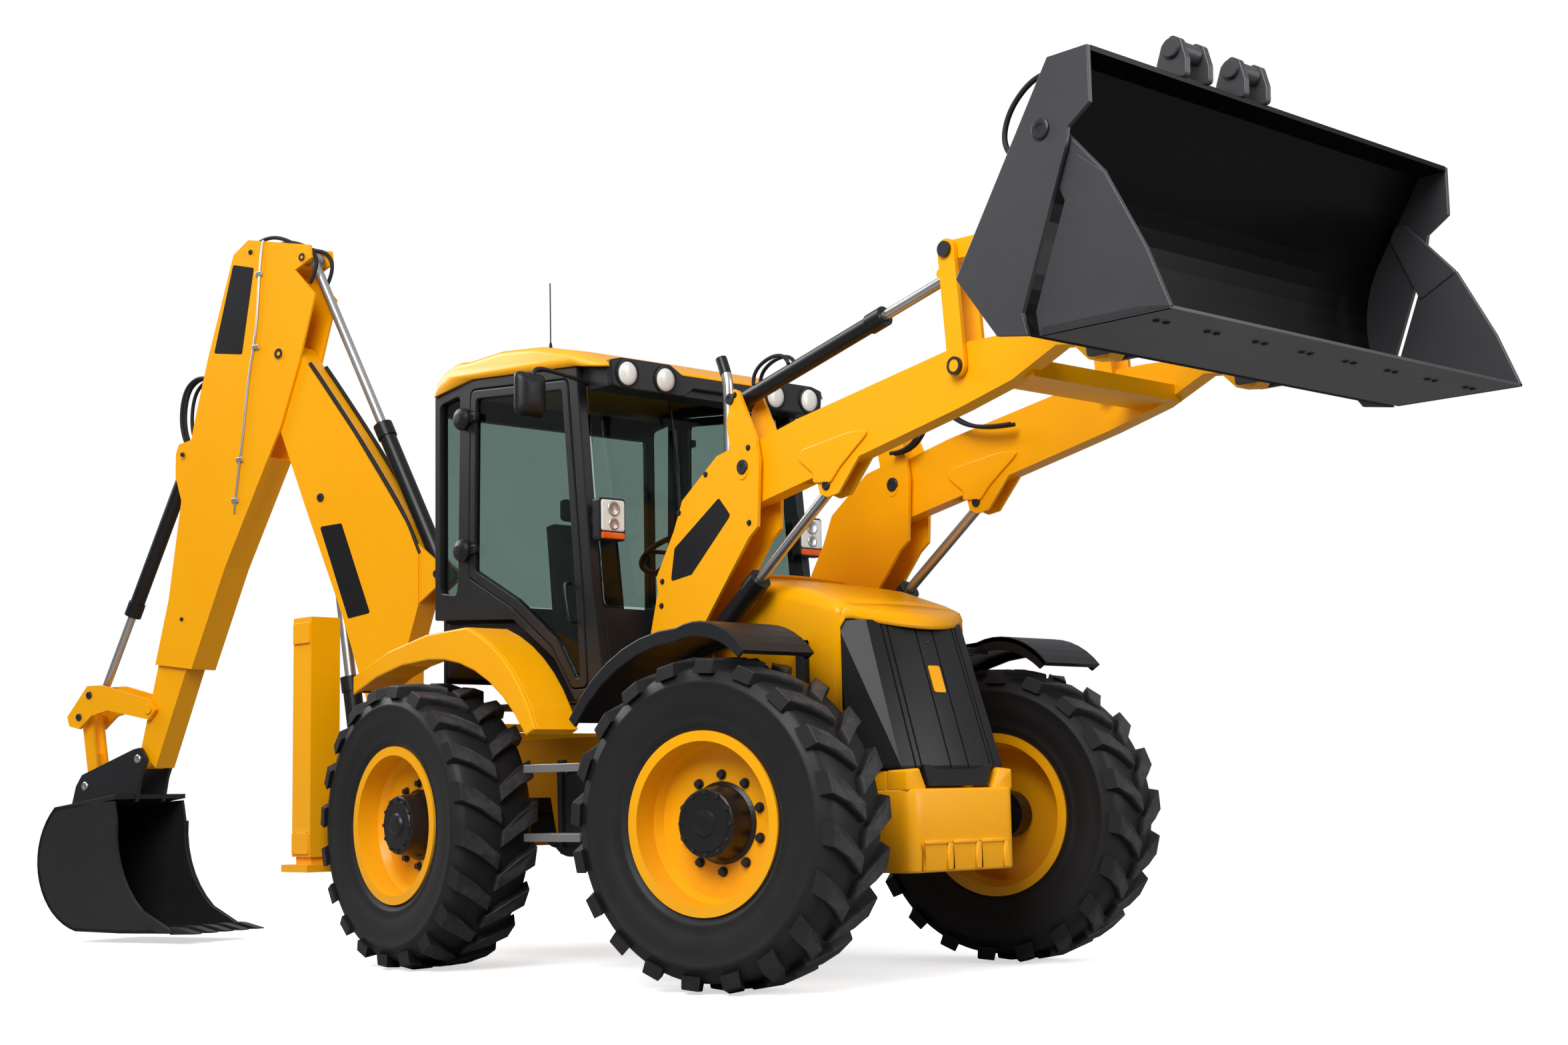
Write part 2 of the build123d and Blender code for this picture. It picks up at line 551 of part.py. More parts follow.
bucket_half = 300
shell_outline = [(2748, 830), (2800, 660), (2880, 420), (2790, 215), (2550, 68), (2170, 60), (1700, 68)]
bucket_side = shell_outline + [(1990, 200), (2090, 300), (2190, 480), (2215, 730), (2260, 860)]
bucket_inner = [(2725, 790), (2775, 655), (2852, 420), (2770, 235), (2542, 90), (2170, 82), (1600, 90), (1500, 900)]
with BuildPart() as hoe_bucket:
    slab(HOE, bucket_side, -bucket_half, bucket_half)
    slab(HOE, bucket_inner, -bucket_half + 18, bucket_half - 18, Mode.SUBTRACT)
    for low, high in ((-128, -100), (100, 128)):
        slab(HOE, [(2150, 1120), (2200, 1190), (2260, 1180), (2700, 1030), (2750, 960), (2790, 820), (2740, 780),
                   (2230, 850), (2200, 1000)], low, high)
    slab(HOE, [(2748, 830), (2230, 900), (2230, 860), (2740, 790)], -bucket_half, bucket_half)
    disc(HOE, nose_pin, 26, -132, 132)
    for low, high in ((-132, -58), (58, 132)):
        disc(HOE, hitch_pin, 26, low, high)
    slab(HOE, [(2590, 822), (2760, 806), (2760, 900), (2590, 900)], -62, 62, Mode.SUBTRACT)
    for w in range(-2, 3):
        slab(HOE, [(1720, 60), (1720, 96), (1560, 70), (1560, 62)], w * 135 - 30, w * 135 + 30)
finish(hoe_bucket, "hoe_bucket")

# ---------------------------------------------------------------- loader
arm_side = [(1850, 2180), (1815, 2290), (1868, 2388), (2000, 2424), (2300, 2496), (3235, 2662), (3337, 2676), (3491, 2675),
            (3780, 2660), (4060, 2632), (4115, 2560), (4050, 2490), (3960, 2500), (3880, 2575), (3795, 2585),
            (3560, 2480), (3267, 2405), (2658, 2274), (2422, 2225), (2039, 2146), (1940, 2130)]
with BuildPart() as loader_arms:
    for side in both_sides:
        middle = -side * arm_plane
        slab(SIDE, arm_side, middle - arm_half, middle + arm_half)
        for low in (-arm_half, arm_half - 14):
            slab(SIDE, [(2400, 2230), (2425, 2140), (2470, 2120), (2540, 2130), (2680, 2285)],
                 middle + low, middle + low + 14)
        disc(SIDE, arm_pivot, 35, middle - 60, middle + 60, Mode.SUBTRACT)
        disc(SIDE, lift_rod_pin, 165, middle - arm_half + 14, middle + arm_half - 14, Mode.SUBTRACT)
        for low in (-arm_half, 30):
            disc(SIDE, lift_rod_pin, 24, middle + low, middle + low + 15)
        disc(SIDE, lever_pin, 26, middle - 88, middle + 88)
        disc(SIDE, bucket_pin, 27, middle - 60, middle + 60, Mode.SUBTRACT)
    block((3400, 3640), (-arm_plane, arm_plane), (2488, 2560))
finish(loader_arms, "loader_arms")

rams = [(name, -side * arm_plane) for name, side in (("left", 1), ("right", -1))]
with BuildPart() as lift_barrels:
    for name, across in rams:
        ram_barrel(SIDE, lift_ram_pin, lift_rod_pin, 815, 46, 28, across, 46)
        disc(SIDE, lift_ram_pin, 29, across - 50, across + 50, Mode.SUBTRACT)
finish(lift_barrels, "lift_barrels")
with BuildPart() as lift_rods:
    for name, across in rams:
        ram_rod(SIDE, lift_ram_pin, lift_rod_pin, 615, 24, across, 36, 27)
finish(lift_rods, "lift_rods")

with BuildPart() as tip_barrels:
    for name, across in rams:
        ram_barrel(SIDE, tip_ram_pin, tip_rod_pin, 960, 38, 27, across, 42)
        disc(SIDE, tip_ram_pin, 25, across - 50, across + 50, Mode.SUBTRACT)
finish(tip_barrels, "tip_barrels")
with BuildPart() as tip_rods:
    for name, across in rams:
        ram_rod(SIDE, tip_ram_pin, tip_rod_pin, 600, 23, across, 34, 25)
finish(tip_rods, "tip_rods")

lever_low, lever_high = 52, 72
with BuildPart() as lever_pins:
    for name, across in rams:
        for low, high in ((-90, -76), (76, 90)):
            disc(SIDE, lever_pin, 38, across + low, across + high)
            disc(SIDE, lever_pin, 26.5, across + low, across + high, Mode.SUBTRACT)
finish(lever_pins, "lever_pins")
with BuildPart() as tip_levers:
    for name, across in rams:
        for low, high in ((-lever_high, -lever_low), (lever_low, lever_high)):
            strap(SIDE, lever_pin, lever_top, 92, across + low, across + high)
            disc(SIDE, lever_pin, 26.5, across + low, across + high, Mode.SUBTRACT)
            disc(SIDE, lever_top, 22.5, across + low, across + high, Mode.SUBTRACT)
        for low, high in ((-lever_high, -28), (28, lever_high)):
            disc(SIDE, tip_rod_pin, 21, across + low, across + high)
finish(tip_levers, "tip_levers")
with BuildPart() as link_pins:
    for name, across in rams:
        for outward in both_sides:
            disc(SIDE, lever_top, 34, *sorted((across + outward * 76, across + outward * 88)))
            disc(SIDE, lever_top, 22, *sorted((across + outward * 28, across + outward * 88)))
finish(link_pins, "link_pins")
with BuildPart() as tip_links:
    for name, across in rams:
        for low, high in ((-46, -30), (30, 46)):
            strap(SIDE, lever_top, link_pin, 84, across + low, across + high)
        slab(SIDE, [(3600, 3040), (3700, 3040), (3700, 3106), (3600, 3106)], across - 31, across + 31)
        disc(SIDE, lever_top, 22.5, across - 50, across + 50, Mode.SUBTRACT)
        disc(SIDE, link_pin, 24, across - 50, across + 50, Mode.SUBTRACT)
finish(tip_links, "tip_links")

with BuildPart() as bucket_pins:
    for name, across in rams:
        disc(SIDE, bucket_pin, 26, across - 96, across + 96)
finish(bucket_pins, "bucket_pins")

clam_half = 1232
end_plate = 20
clam_pin = (4334, 3208)
back_side = [(4371, 3470), (4560, 3470), (4560, 3256), (4457, 3188), (4443, 3120), (4215, 2545), (4241, 2457),
             (4090, 2480), (3895, 2731)]
back_plate = [(4400, 3470), (4560, 3470), (4560, 3452), (4430, 3440), (4190, 3060), (4150, 2800), (4215, 2580),
              (4258, 2475), (4235, 2457), (4190, 2560), (4120, 2790), (4160, 3070)]
with BuildPart() as loader_bucket:
    for side in both_sides:
        y_span = sorted((side * (clam_half - end_plate), side * clam_half))
        slab(SIDE, back_side, -y_span[1], -y_span[0])
    slab(SIDE, back_plate, -clam_half, clam_half)
    for name, across in rams:
        for low, high in ((-90, -66), (66, 90)):
            slab(SIDE, [(3985, 2500), (3975, 2600), (3950, 3060), (4000, 3130), (4060, 3130), (4175, 3065),
                        (4130, 2800), (4200, 2570), (4210, 2500)], across + low, across + high)
            disc(SIDE, bucket_pin, 26.5, across + low, across + high, Mode.SUBTRACT)
        disc(SIDE, link_pin, 23, across - 90, across + 90)
    for across in (-1, 1):
        disc(SIDE, clam_pin, 34, *sorted((across * (clam_half - 2), across * (clam_half + 14))))
        disc(SIDE, clam_pin, 20, *sorted((across * (clam_half - 75), across * clam_half)))
finish(loader_bucket, "loader_bucket")

jaw_side = [(4474, 3089), (4596, 2995), (4763, 2692), (4858, 2466), (4858, 2455), (4272, 2455), (4258, 2545)]
with BuildPart() as clam_jaw:
    for side in both_sides:
        y_span = sorted((side * (clam_half - 2 * end_plate - 6), side * (clam_half - end_plate - 6)))
        slab(SIDE, jaw_side, -y_span[1], -y_span[0])
        inner = sorted((side * (clam_half - end_plate - 26), side * (clam_half - end_plate - 6)))
        slab(SIDE, [(4304, 3188), (4355, 3237), (4596, 2995), (4520, 2800), (4460, 2900)],
             -inner[1], -inner[0])
        disc(SIDE, clam_pin, 36, -inner[1], -inner[0])
        disc(SIDE, clam_pin, 21, -inner[1] - 5, -inner[0] + 5, Mode.SUBTRACT)
    floor_half = clam_half - end_plate - 6
    slab(SIDE, [(4272, 2455), (4858, 2455), (4858, 2466), (4720, 2485), (4285, 2485)], -floor_half, floor_half)
finish(clam_jaw, "clam_jaw")
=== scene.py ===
import math

import bmesh
import bpy
from mathutils import Matrix, Vector


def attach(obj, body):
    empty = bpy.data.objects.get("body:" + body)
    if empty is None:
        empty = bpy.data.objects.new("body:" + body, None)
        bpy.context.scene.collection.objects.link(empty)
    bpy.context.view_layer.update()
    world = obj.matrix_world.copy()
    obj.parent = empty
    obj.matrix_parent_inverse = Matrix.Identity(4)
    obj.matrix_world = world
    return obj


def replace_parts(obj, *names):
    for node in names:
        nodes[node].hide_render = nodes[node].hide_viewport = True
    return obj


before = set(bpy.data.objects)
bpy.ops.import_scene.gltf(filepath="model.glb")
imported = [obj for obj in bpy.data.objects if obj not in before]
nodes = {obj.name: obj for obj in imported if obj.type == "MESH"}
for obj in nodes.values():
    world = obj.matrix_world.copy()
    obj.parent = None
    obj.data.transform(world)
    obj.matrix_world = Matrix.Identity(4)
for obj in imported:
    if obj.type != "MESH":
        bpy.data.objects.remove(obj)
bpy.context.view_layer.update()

# ---------------------------------------------------------------- studio: camera, floor and lamps
# A pale seamless floor, a white surround and three large soft lamps. The camera stands low,
# ahead of the machine's right front wheel, and looks slightly up at it.
camera_place = Vector((8.9817, -7.2348, 0.8225))
camera_yaw, camera_pitch, camera_roll = 0.816366601, 0.123453968, -0.0194973734
camera_lens, camera_sensor = 50.304, 36
lamp_aim = Vector((0, 0, 1.8))
floor_reach = 60


def stand(name, data):
    """Puts a mesh, curve, camera or lamp in the scene as an object."""
    made = bpy.data.objects.new(name, data)
    bpy.context.scene.collection.objects.link(made)
    return made


def add_node(tree, kind, feeds=None, **settings):
    """A node with its settings; each socket is fed a value, a socket or a node's first output."""
    node = tree.nodes.new(kind)
    for name, value in settings.items():
        setattr(node, name, value)
    for socket, source in (feeds or {}).items():
        if isinstance(source, bpy.types.Node):
            source = source.outputs[0]
        if isinstance(source, bpy.types.NodeSocket):
            tree.links.new(source, node.inputs[socket])
        else:
            node.inputs[socket].default_value = source
    return node


ahead = Vector((-math.sin(camera_yaw) * math.cos(camera_pitch), math.cos(camera_yaw) * math.cos(camera_pitch),
                math.sin(camera_pitch)))
level = ahead.cross(Vector((0, 0, 1))).normalized()
above = level.cross(ahead)
right_way = math.cos(camera_roll) * level + math.sin(camera_roll) * above
up_way = math.cos(camera_roll) * above - math.sin(camera_roll) * level
camera_data = bpy.data.cameras.new("studio_camera")
camera_data.sensor_width = camera_sensor
camera_data.lens = camera_lens
camera_data.clip_end = 200
camera = stand("studio_camera", camera_data)
camera.matrix_world = Matrix.Translation(camera_place) @ Matrix(
    (right_way, up_way, -ahead)).transposed().to_4x4()
bpy.context.scene.camera = camera
bpy.context.scene.view_settings.view_transform = "Standard"

world = bpy.data.worlds.new("studio_surround")
bpy.context.scene.world = world
world.use_nodes = True
world.node_tree.nodes.clear()
sky = world.node_tree
sky_place = add_node(sky, "ShaderNodeTexCoord")
sky_split = add_node(sky, "ShaderNodeSeparateXYZ", {"Vector": sky_place.outputs["Generated"]})
sky_height = add_node(sky, "ShaderNodeMapRange", {"From Min": -0.1, "From Max": 0.7, "Value": sky_split.outputs["Z"]})
sky_tint = add_node(sky, "ShaderNodeMix", {
    0: sky_height, 6: (0.22, 0.23, 0.25, 1), 7: (0.95, 0.97, 1.0, 1)}, data_type="RGBA")
soft_sky = add_node(sky, "ShaderNodeBackground", {"Strength": 0.5, "Color": sky_tint.outputs[2]})
white_sky = add_node(sky, "ShaderNodeBackground", {"Color": (1, 1, 1, 1), "Strength": 1.0})
sky_path = add_node(sky, "ShaderNodeLightPath")
sky_seen = add_node(sky, "ShaderNodeMath", {
    0: sky_path.outputs["Is Camera Ray"], 1: sky_path.outputs["Is Transmission Ray"]}, operation="MAXIMUM")
sky_mix = add_node(sky, "ShaderNodeMixShader", {0: sky_seen, 1: soft_sky, 2: white_sky})
add_node(sky, "ShaderNodeOutputWorld", {"Surface": sky_mix})

floor_mesh = bpy.data.meshes.new("studio_floor")
floor_mesh.from_pydata([(-floor_reach, -floor_reach, 0), (floor_reach, -floor_reach, 0),
    (floor_reach, floor_reach, 0),
                        (-floor_reach, floor_reach, 0)], [], [(0, 1, 2, 3)])
floor = stand("studio_floor", floor_mesh)
floor_finish = bpy.data.materials.new("pale_floor")
floor_finish.use_nodes = True
floor_tree = floor_finish.node_tree
floor_shader = floor_tree.nodes["Principled BSDF"]
for socket, value in (("Base Color", (0.95, 0.95, 0.95, 1)), ("Roughness", 0.9), ("Specular IOR Level", 0.1)):
    floor_shader.inputs[socket].default_value = value
floor_glow = add_node(floor_tree, "ShaderNodeEmission", {"Color": (1, 1, 1, 1), "Strength": 0.62})
floor_sum = add_node(floor_tree, "ShaderNodeAddShader", {0: floor_shader, 1: floor_glow})
floor_bounce = add_node(floor_tree, "ShaderNodeBsdfDiffuse", {"Color": (0.30, 0.30, 0.30, 1)})
floor_path = add_node(floor_tree, "ShaderNodeLightPath")
floor_pick = add_node(floor_tree, "ShaderNodeMixShader", {
    0: floor_path.outputs["Is Camera Ray"], 1: floor_bounce, 2: floor_sum})
floor_tree.links.new(floor_pick.outputs[0], floor_tree.nodes["Material Output"].inputs["Surface"])
floor_mesh.materials.append(floor_finish)

for name, place, size, power in (  # size in m, power in W
        ("key_lamp", (6.0, -9.0, 9.0), 7.0, 1500), ("fill_lamp", (11.0, 4.0, 5.0), 6.0, 450),
        ("back_lamp", (-9.0, -3.0, 8.0), 6.0, 700)):
    lamp_data = bpy.data.lights.new(name, "AREA")
    lamp_data.size = size
    lamp_data.energy = power
    stand(name, lamp_data).matrix_world = Matrix.Translation(place) @ (
        Vector(place) - lamp_aim).to_track_quat("Z", "Y").to_matrix().to_4x4()

# ---------------------------------------------------------------- main frame and loader towers
# Welded plate, shot-blasted and sprayed with a glossy yellow two-pack paint. Low down it carries
# a thin film of dust, and sprayed plate is never quite flat.
rear_axle = -0.333


def at(x, y, z):
    """A place in metres from millimetres forward of the rear axle, to the left and up."""
    return Vector((x / 1000 + rear_axle, y / 1000, z / 1000))


def new_group(name, kind, inputs, outputs):
    """A node group of one kind with named inputs and outputs, and its input node."""
    tree = bpy.data.node_groups.new(name, kind)
    for way, sockets in (("INPUT", inputs), ("OUTPUT", outputs)):
        for socket, sort, *default in sockets:
            made = tree.interface.new_socket(socket, in_out=way, socket_type="NodeSocket" + sort)
            if default:
                made.default_value = default[0]
    return tree, add_node(tree, "NodeGroupInput")


spray, spray_in = new_group(
    "spray_coat", "ShaderNodeTree", [("Scale", "Float", 60.0), ("Waviness", "Float", 0.15),
        ("Dust Top", "Float", 1.2)],
    [("Tone", "Float"), ("Normal", "Vector"), ("Dust", "Float")])
spray_place = add_node(spray, "ShaderNodeTexCoord").outputs["Object"]
spray_tone = add_node(spray, "ShaderNodeTexNoise", {"Scale": 2.2, "Detail": 3.0, "Vector": spray_place})
spray_peel = add_node(spray, "ShaderNodeTexNoise", {
    "Detail": 2.0, "Vector": spray_place, "Scale": spray_in.outputs["Scale"]})
spray_bump = add_node(spray, "ShaderNodeBump", {
    "Distance": 0.0012, "Height": spray_peel, "Strength": spray_in.outputs["Waviness"]})
spray_split = add_node(spray, "ShaderNodeSeparateXYZ", {"Vector": spray_place})
spray_low = add_node(spray, "ShaderNodeMapRange", {
    "From Max": 0.1, "To Min": 0.0, "To Max": 0.30, "Value": spray_split.outputs["Z"],
    "From Min": spray_in.outputs["Dust Top"]})
spray_film = add_node(spray, "ShaderNodeTexNoise", {"Scale": 9.0, "Detail": 6.0, "Vector": spray_place})
spray_dust = add_node(spray, "ShaderNodeMath", {0: spray_low, 1: spray_film}, operation="MULTIPLY")
add_node(spray, "NodeGroupOutput", {"Tone": spray_tone, "Normal": spray_bump, "Dust": spray_dust})


def painted(name, light, dark, dust, roughness, metallic=0.0, coat=0.0, specular=0.5, scale=60.0, waviness=0.15):
    """A sprayed or moulded finish: two close tones, a dust film low down and a slightly wavy surface."""
    material = bpy.data.materials.new(name)
    material.use_nodes = True
    tree = material.node_tree
    shader = tree.nodes["Principled BSDF"]
    for socket, value in (("Metallic", metallic), ("Coat Weight", coat), ("Coat Roughness", 0.08),
                          ("Specular IOR Level", specular)):
        shader.inputs[socket].default_value = value
    film = add_node(tree, "ShaderNodeGroup", {"Scale": scale, "Waviness": waviness}, node_tree=spray)
    tones = add_node(tree, "ShaderNodeMix", {0: film.outputs["Tone"], 6: (*dark, 1), 7: (*light, 1)},
        data_type="RGBA")
    dusty = add_node(tree, "ShaderNodeMix", {0: film.outputs["Dust"], 6: tones.outputs[2], 7: (*dust, 1)},
                     data_type="RGBA")
    rough = add_node(tree, "ShaderNodeMapRange", {
        "To Min": roughness - 0.05, "To Max": roughness + 0.07, "Value": film.outputs["Tone"]})
    for socket, source in (("Base Color", dusty.outputs[2]), ("Roughness", rough.outputs[0]),
                           ("Normal", film.outputs["Normal"])):
        tree.links.new(source, shader.inputs[socket])
    return material


yellow_paint = painted("yellow_paint", (1.0, 0.44, 0.0), (0.96, 0.40, 0.0), (0.50, 0.30, 0.09), 0.34, coat=0.12,
                       specular=0.22)
dark_steel = painted("dark_steel", (0.045, 0.045, 0.05), (0.03, 0.03, 0.034), (0.09, 0.08, 0.07), 0.42, metallic=0.6,
                     scale=90.0, waviness=0.2)
black_paint = painted("black_paint", (0.009, 0.009, 0.010), (0.006, 0.006, 0.007), (0.05, 0.046, 0.04), 0.34,
                      specular=0.35, scale=45.0, waviness=0.2)


def dress(material, *names):
    """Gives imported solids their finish."""
    for name in names:
        mesh = nodes[name].data
        mesh.materials.clear()
        mesh.materials.append(material)


def new_piece(name, mesh, material, body="chassis", smooth=True):
    """Adds a finished mesh that rides on a body and carries the given material."""
    mesh.materials.clear()
    mesh.materials.append(material)
    mesh.polygons.foreach_set("use_smooth", [smooth] * len(mesh.polygons))
    piece = stand(name, mesh)
    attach(piece, body)
    return piece


def settled(holder):
    """The plain mesh of an object with its modifiers in it; the object itself goes."""
    made = bpy.data.meshes.new_from_object(holder.evaluated_get(bpy.context.evaluated_depsgraph_get()))
    holder.modifiers.clear()
    bpy.data.objects.remove(holder)
    return made


def grown(name, mesh, tree, values):
    """The plain mesh that a tree makes from a mesh, with these values in its named inputs."""
    holder = stand(name, mesh)
    modifier = holder.modifiers.new(name, "NODES")
    modifier.node_group = tree
    for socket in tree.interface.items_tree:
        if socket.in_out == "INPUT" and socket.name in values:
            modifier[socket.identifier] = values[socket.name]
    return settled(holder)


# a fastener or cap standing on each given place, along the way it faces
studs, stud_in = new_group(
    "fastener_heads", "GeometryNodeTree",
    [("Places", "Geometry"), ("Head Radius", "Float"), ("Head Height", "Float"), ("Washer Radius", "Float"),
     ("Sides", "Int"), ("Finish", "Material")], [("Heads", "Geometry")])
stud_height = stud_in.outputs["Head Height"]
stud_half = add_node(studs, "ShaderNodeMath", {0: stud_height, 1: 0.5}, operation="MULTIPLY")
stud_head = add_node(studs, "GeometryNodeMeshCylinder", {
    "Vertices": stud_in.outputs["Sides"], "Radius": stud_in.outputs["Head Radius"], "Depth": stud_height})
stud_lift = add_node(studs, "ShaderNodeCombineXYZ", {"Z": stud_half})
stud_raised = add_node(studs, "GeometryNodeTransform", {"Geometry": stud_head, "Translation": stud_lift})
stud_washer = add_node(studs, "GeometryNodeMeshCylinder", {
    "Vertices": 20, "Radius": stud_in.outputs["Washer Radius"], "Depth": stud_half})
stud_shape = add_node(studs, "GeometryNodeJoinGeometry", {"Geometry": stud_raised})
studs.links.new(stud_washer.outputs["Mesh"], stud_shape.inputs["Geometry"])
stud_facing = add_node(studs, "GeometryNodeInputNamedAttribute", {"Name": "facing"}, data_type="FLOAT_VECTOR")
stud_turn = add_node(studs, "FunctionNodeAlignRotationToVector", {"Vector": stud_facing}, axis="Z")
stud_points = add_node(studs, "GeometryNodeMeshToPoints", {"Mesh": stud_in.outputs["Places"]})
stud_copies = add_node(studs, "GeometryNodeInstanceOnPoints", {
    "Points": stud_points, "Instance": stud_shape, "Rotation": stud_turn})
stud_real = add_node(studs, "GeometryNodeRealizeInstances", {"Geometry": stud_copies})
stud_finish = add_node(studs, "GeometryNodeSetMaterial", {
    "Geometry": stud_real, "Material": stud_in.outputs["Finish"]})
add_node(studs, "NodeGroupOutput", {"Heads": stud_finish})


def fasteners(name, places, radius, height, washer, material, body="chassis", sides=6):
    """Bolt heads or round pin ends on their washers, one at each (place, facing)."""
    mesh = bpy.data.meshes.new(name + "_places")
    mesh.from_pydata([tuple(place) for place, facing in places], [], [])
    facing_layer = mesh.attributes.new("facing", "FLOAT_VECTOR", "POINT")
    facing_layer.data.foreach_set("vector", [part for place, facing in places for part in facing])
    heads = grown(name + "_heads", mesh, studs, {
        "Head Radius": radius, "Head Height": height, "Washer Radius": washer, "Sides": sides, "Finish": material})
    return new_piece(name, heads, material, body, smooth=False)


def lathe(form, profile, centre, axis, segments=40):
    """A turned shape; the profile runs (radius, height along the axis) and closes where the radius is 0."""
    axis = Vector(axis).normalized()
    across = axis.orthogonal().normalized()
    other = axis.cross(across)
    rings = []
    for radius, height in profile:
        count = segments if radius else 1
        rings.append([form.verts.new(Vector(centre) + height * axis + radius * (
            math.cos(math.tau * step / segments) * across + math.sin(math.tau * step / segments) * other))
            for step in range(count)])
    for ring, following in zip(rings, rings[1:]):
        for step in range(segments):
            corners = [ring[step % len(ring)], ring[(step + 1) % len(ring)],
                       following[(step + 1) % len(following)], following[step % len(following)]]
            form.faces.new(list(dict.fromkeys(corners)))


def join_forms(forms):
    """One mesh form from several."""
    whole = bmesh.new()
    for form in forms:
        part_mesh = bpy.data.meshes.new("part")
        form.to_mesh(part_mesh)
        form.free()
        whole.from_mesh(part_mesh)
        bpy.data.meshes.remove(part_mesh)
    return whole


def built(name, forms, material, body="chassis", smooth=False):
    """Joins one form or several into a piece and turns its faces outward."""
    whole = join_forms(forms if isinstance(forms, list) else [forms])
    bmesh.ops.recalc_face_normals(whole, faces=whole.faces)
    mesh = bpy.data.meshes.new(name)
    whole.to_mesh(mesh)
    whole.free()
    return new_piece(name, mesh, material, body, smooth)


dress(yellow_paint, "mainframe", "loader_towers")
side_faces = ((-1, "right"), (1, "left"))
tower_pins = ((1959, 2313, 34), (1880, 2640, 26), (1330, 1310, 30))   # forward, up, pin radius in mm
form = bmesh.new()
for side, hand in side_faces:
    for x, z, radius in tower_pins:
        for outward, face in ((side, 573), (-side, 413)):
            middle = at(x, side * face, z)
            lathe(form, [(0, 0), (radius / 1000, 0), (radius / 1000, 0.008), (radius / 1000 - 0.003, 0.011),
                (0.012, 0.011), (0.010, 0.008), (0, 0.008)], middle, (0, outward, 0), 32)
built("tower_pin_ends", form, dark_steel)
fasteners("tower_bolts", [(at(x, side * 573, z), (0, side, 0)) for side, hand in side_faces
    for x, z in ((1912, 2655), (1998, 2398), (1996, 2052), (1370, 1720), (1378, 1835), (1505, 2150), (1700, 2310))],
    0.010, 0.009, 0.014, dark_steel)

# ---------------------------------------------------------------- axles, kingpins and hubs
# Cast axle beams with black-painted hub reductions that stand out of the rims. Each hub has a
# stepped cover held by a ring of bolts, and the rim is held by wheel nuts on studs.
dress(black_paint, "axles", "engine", *("knuckle_" + wheel for wheel in ("front_right", "front_left", "rear_right",
    "rear_left")))
wheel_table = (  # wheel, forward place in mm, side, degrees the wheel stands turned
    ("front_right", 2220, -1, 12.4), ("front_left", 2220, 1, 12.4),
    ("rear_right", 0, -1, -2.9), ("rear_left", 0, 1, -2.9),
)
kingpin_y, half_track, axle_height = 0.772, 0.9755, 707
hub_bolt_count, wheel_nut_count = 12, 10
hub_profile = [(0, 0.008), (0.100, 0.008), (0.172, 0.010), (0.176, 0.040), (0.160, 0.050), (0.152, 0.110),
    (0.144, 0.156), (0.136, 0.160), (0.122, 0.160), (0.118, 0.166), (0.060, 0.168), (0.052, 0.178), (0.030, 0.182),
    (0, 0.182)]


def wheel_frame(forward, side, turned):
    """A wheel's middle, its outward axle direction and its forward direction."""
    turn = Matrix.Rotation(math.radians(turned), 3, "Z")
    outward = turn @ Vector((0, side, 0))
    return at(forward, side * 1000 * kingpin_y, axle_height) + (half_track - kingpin_y) * outward, outward, (
        turn @ Vector((1, 0, 0)))


def round_hub(middle, outward, fore, radius, height, angle):
    """A place on a ring round a hub."""
    return middle + height * outward + radius * (math.cos(angle) * fore + math.sin(angle) * Vector((0, 0, 1)))


for wheel, forward, side, turned in wheel_table:
    middle, outward, fore = wheel_frame(forward, side, turned)
    form = bmesh.new()
    lathe(form, hub_profile, middle, outward, 56)
    built("hub_cover_" + wheel, form, black_paint, "wheel_" + wheel)
    fasteners("hub_bolts_" + wheel, [(round_hub(middle, outward, fore, 0.130, 0.160,
        math.tau * step / hub_bolt_count), outward) for step in range(hub_bolt_count)], 0.009, 0.008, 0.012,
        dark_steel, "wheel_" + wheel)
    fasteners("wheel_nuts_" + wheel, [(round_hub(middle, outward, fore, 0.205, 0.034,
        math.tau * (step + 0.5) / wheel_nut_count), outward) for step in range(wheel_nut_count)], 0.016, 0.024,
        0.022, dark_steel, "wheel_" + wheel)

# ---------------------------------------------------------------- rims and tyres
# Pressed steel rims with rolled edges, sprayed yellow. The tyres are ribbed-lug traction tyres:
# dull rubber walls, lug faces scuffed paler on their tops, with moulded rings near the bead.
dress(yellow_paint, *("rim_" + wheel for wheel, forward, side, turned in wheel_table))
tyre_radius = 0.707
carcass_profile = [(0.3575, -0.176), (0.393, -0.178), (0.416, -0.194), (0.428, -0.201), (0.436, -0.197),
    (0.470, -0.212), (0.540, -0.220), (0.586, -0.218), (0.594, -0.222), (0.602, -0.215), (0.640, -0.203),
    (0.662, -0.170), (0.670, -0.090)]
carcass_profile += [(0.672, 0.0)] + [(radius, -height) for radius, height in reversed(carcass_profile)]
carcass_profile += [(0.352, 0.150), (0.352, -0.150), (0.3575, -0.176)]
lugs_per_side = 20
lug_foot = [(0.108, 0.004), (0.034, 0.004), (-0.050, 0.116), (-0.102, 0.214), (-0.010, 0.214), (0.034, 0.120)]
lug_crown = [(0.004, tyre_radius), (0.120, 0.7045), (0.214, 0.692)]

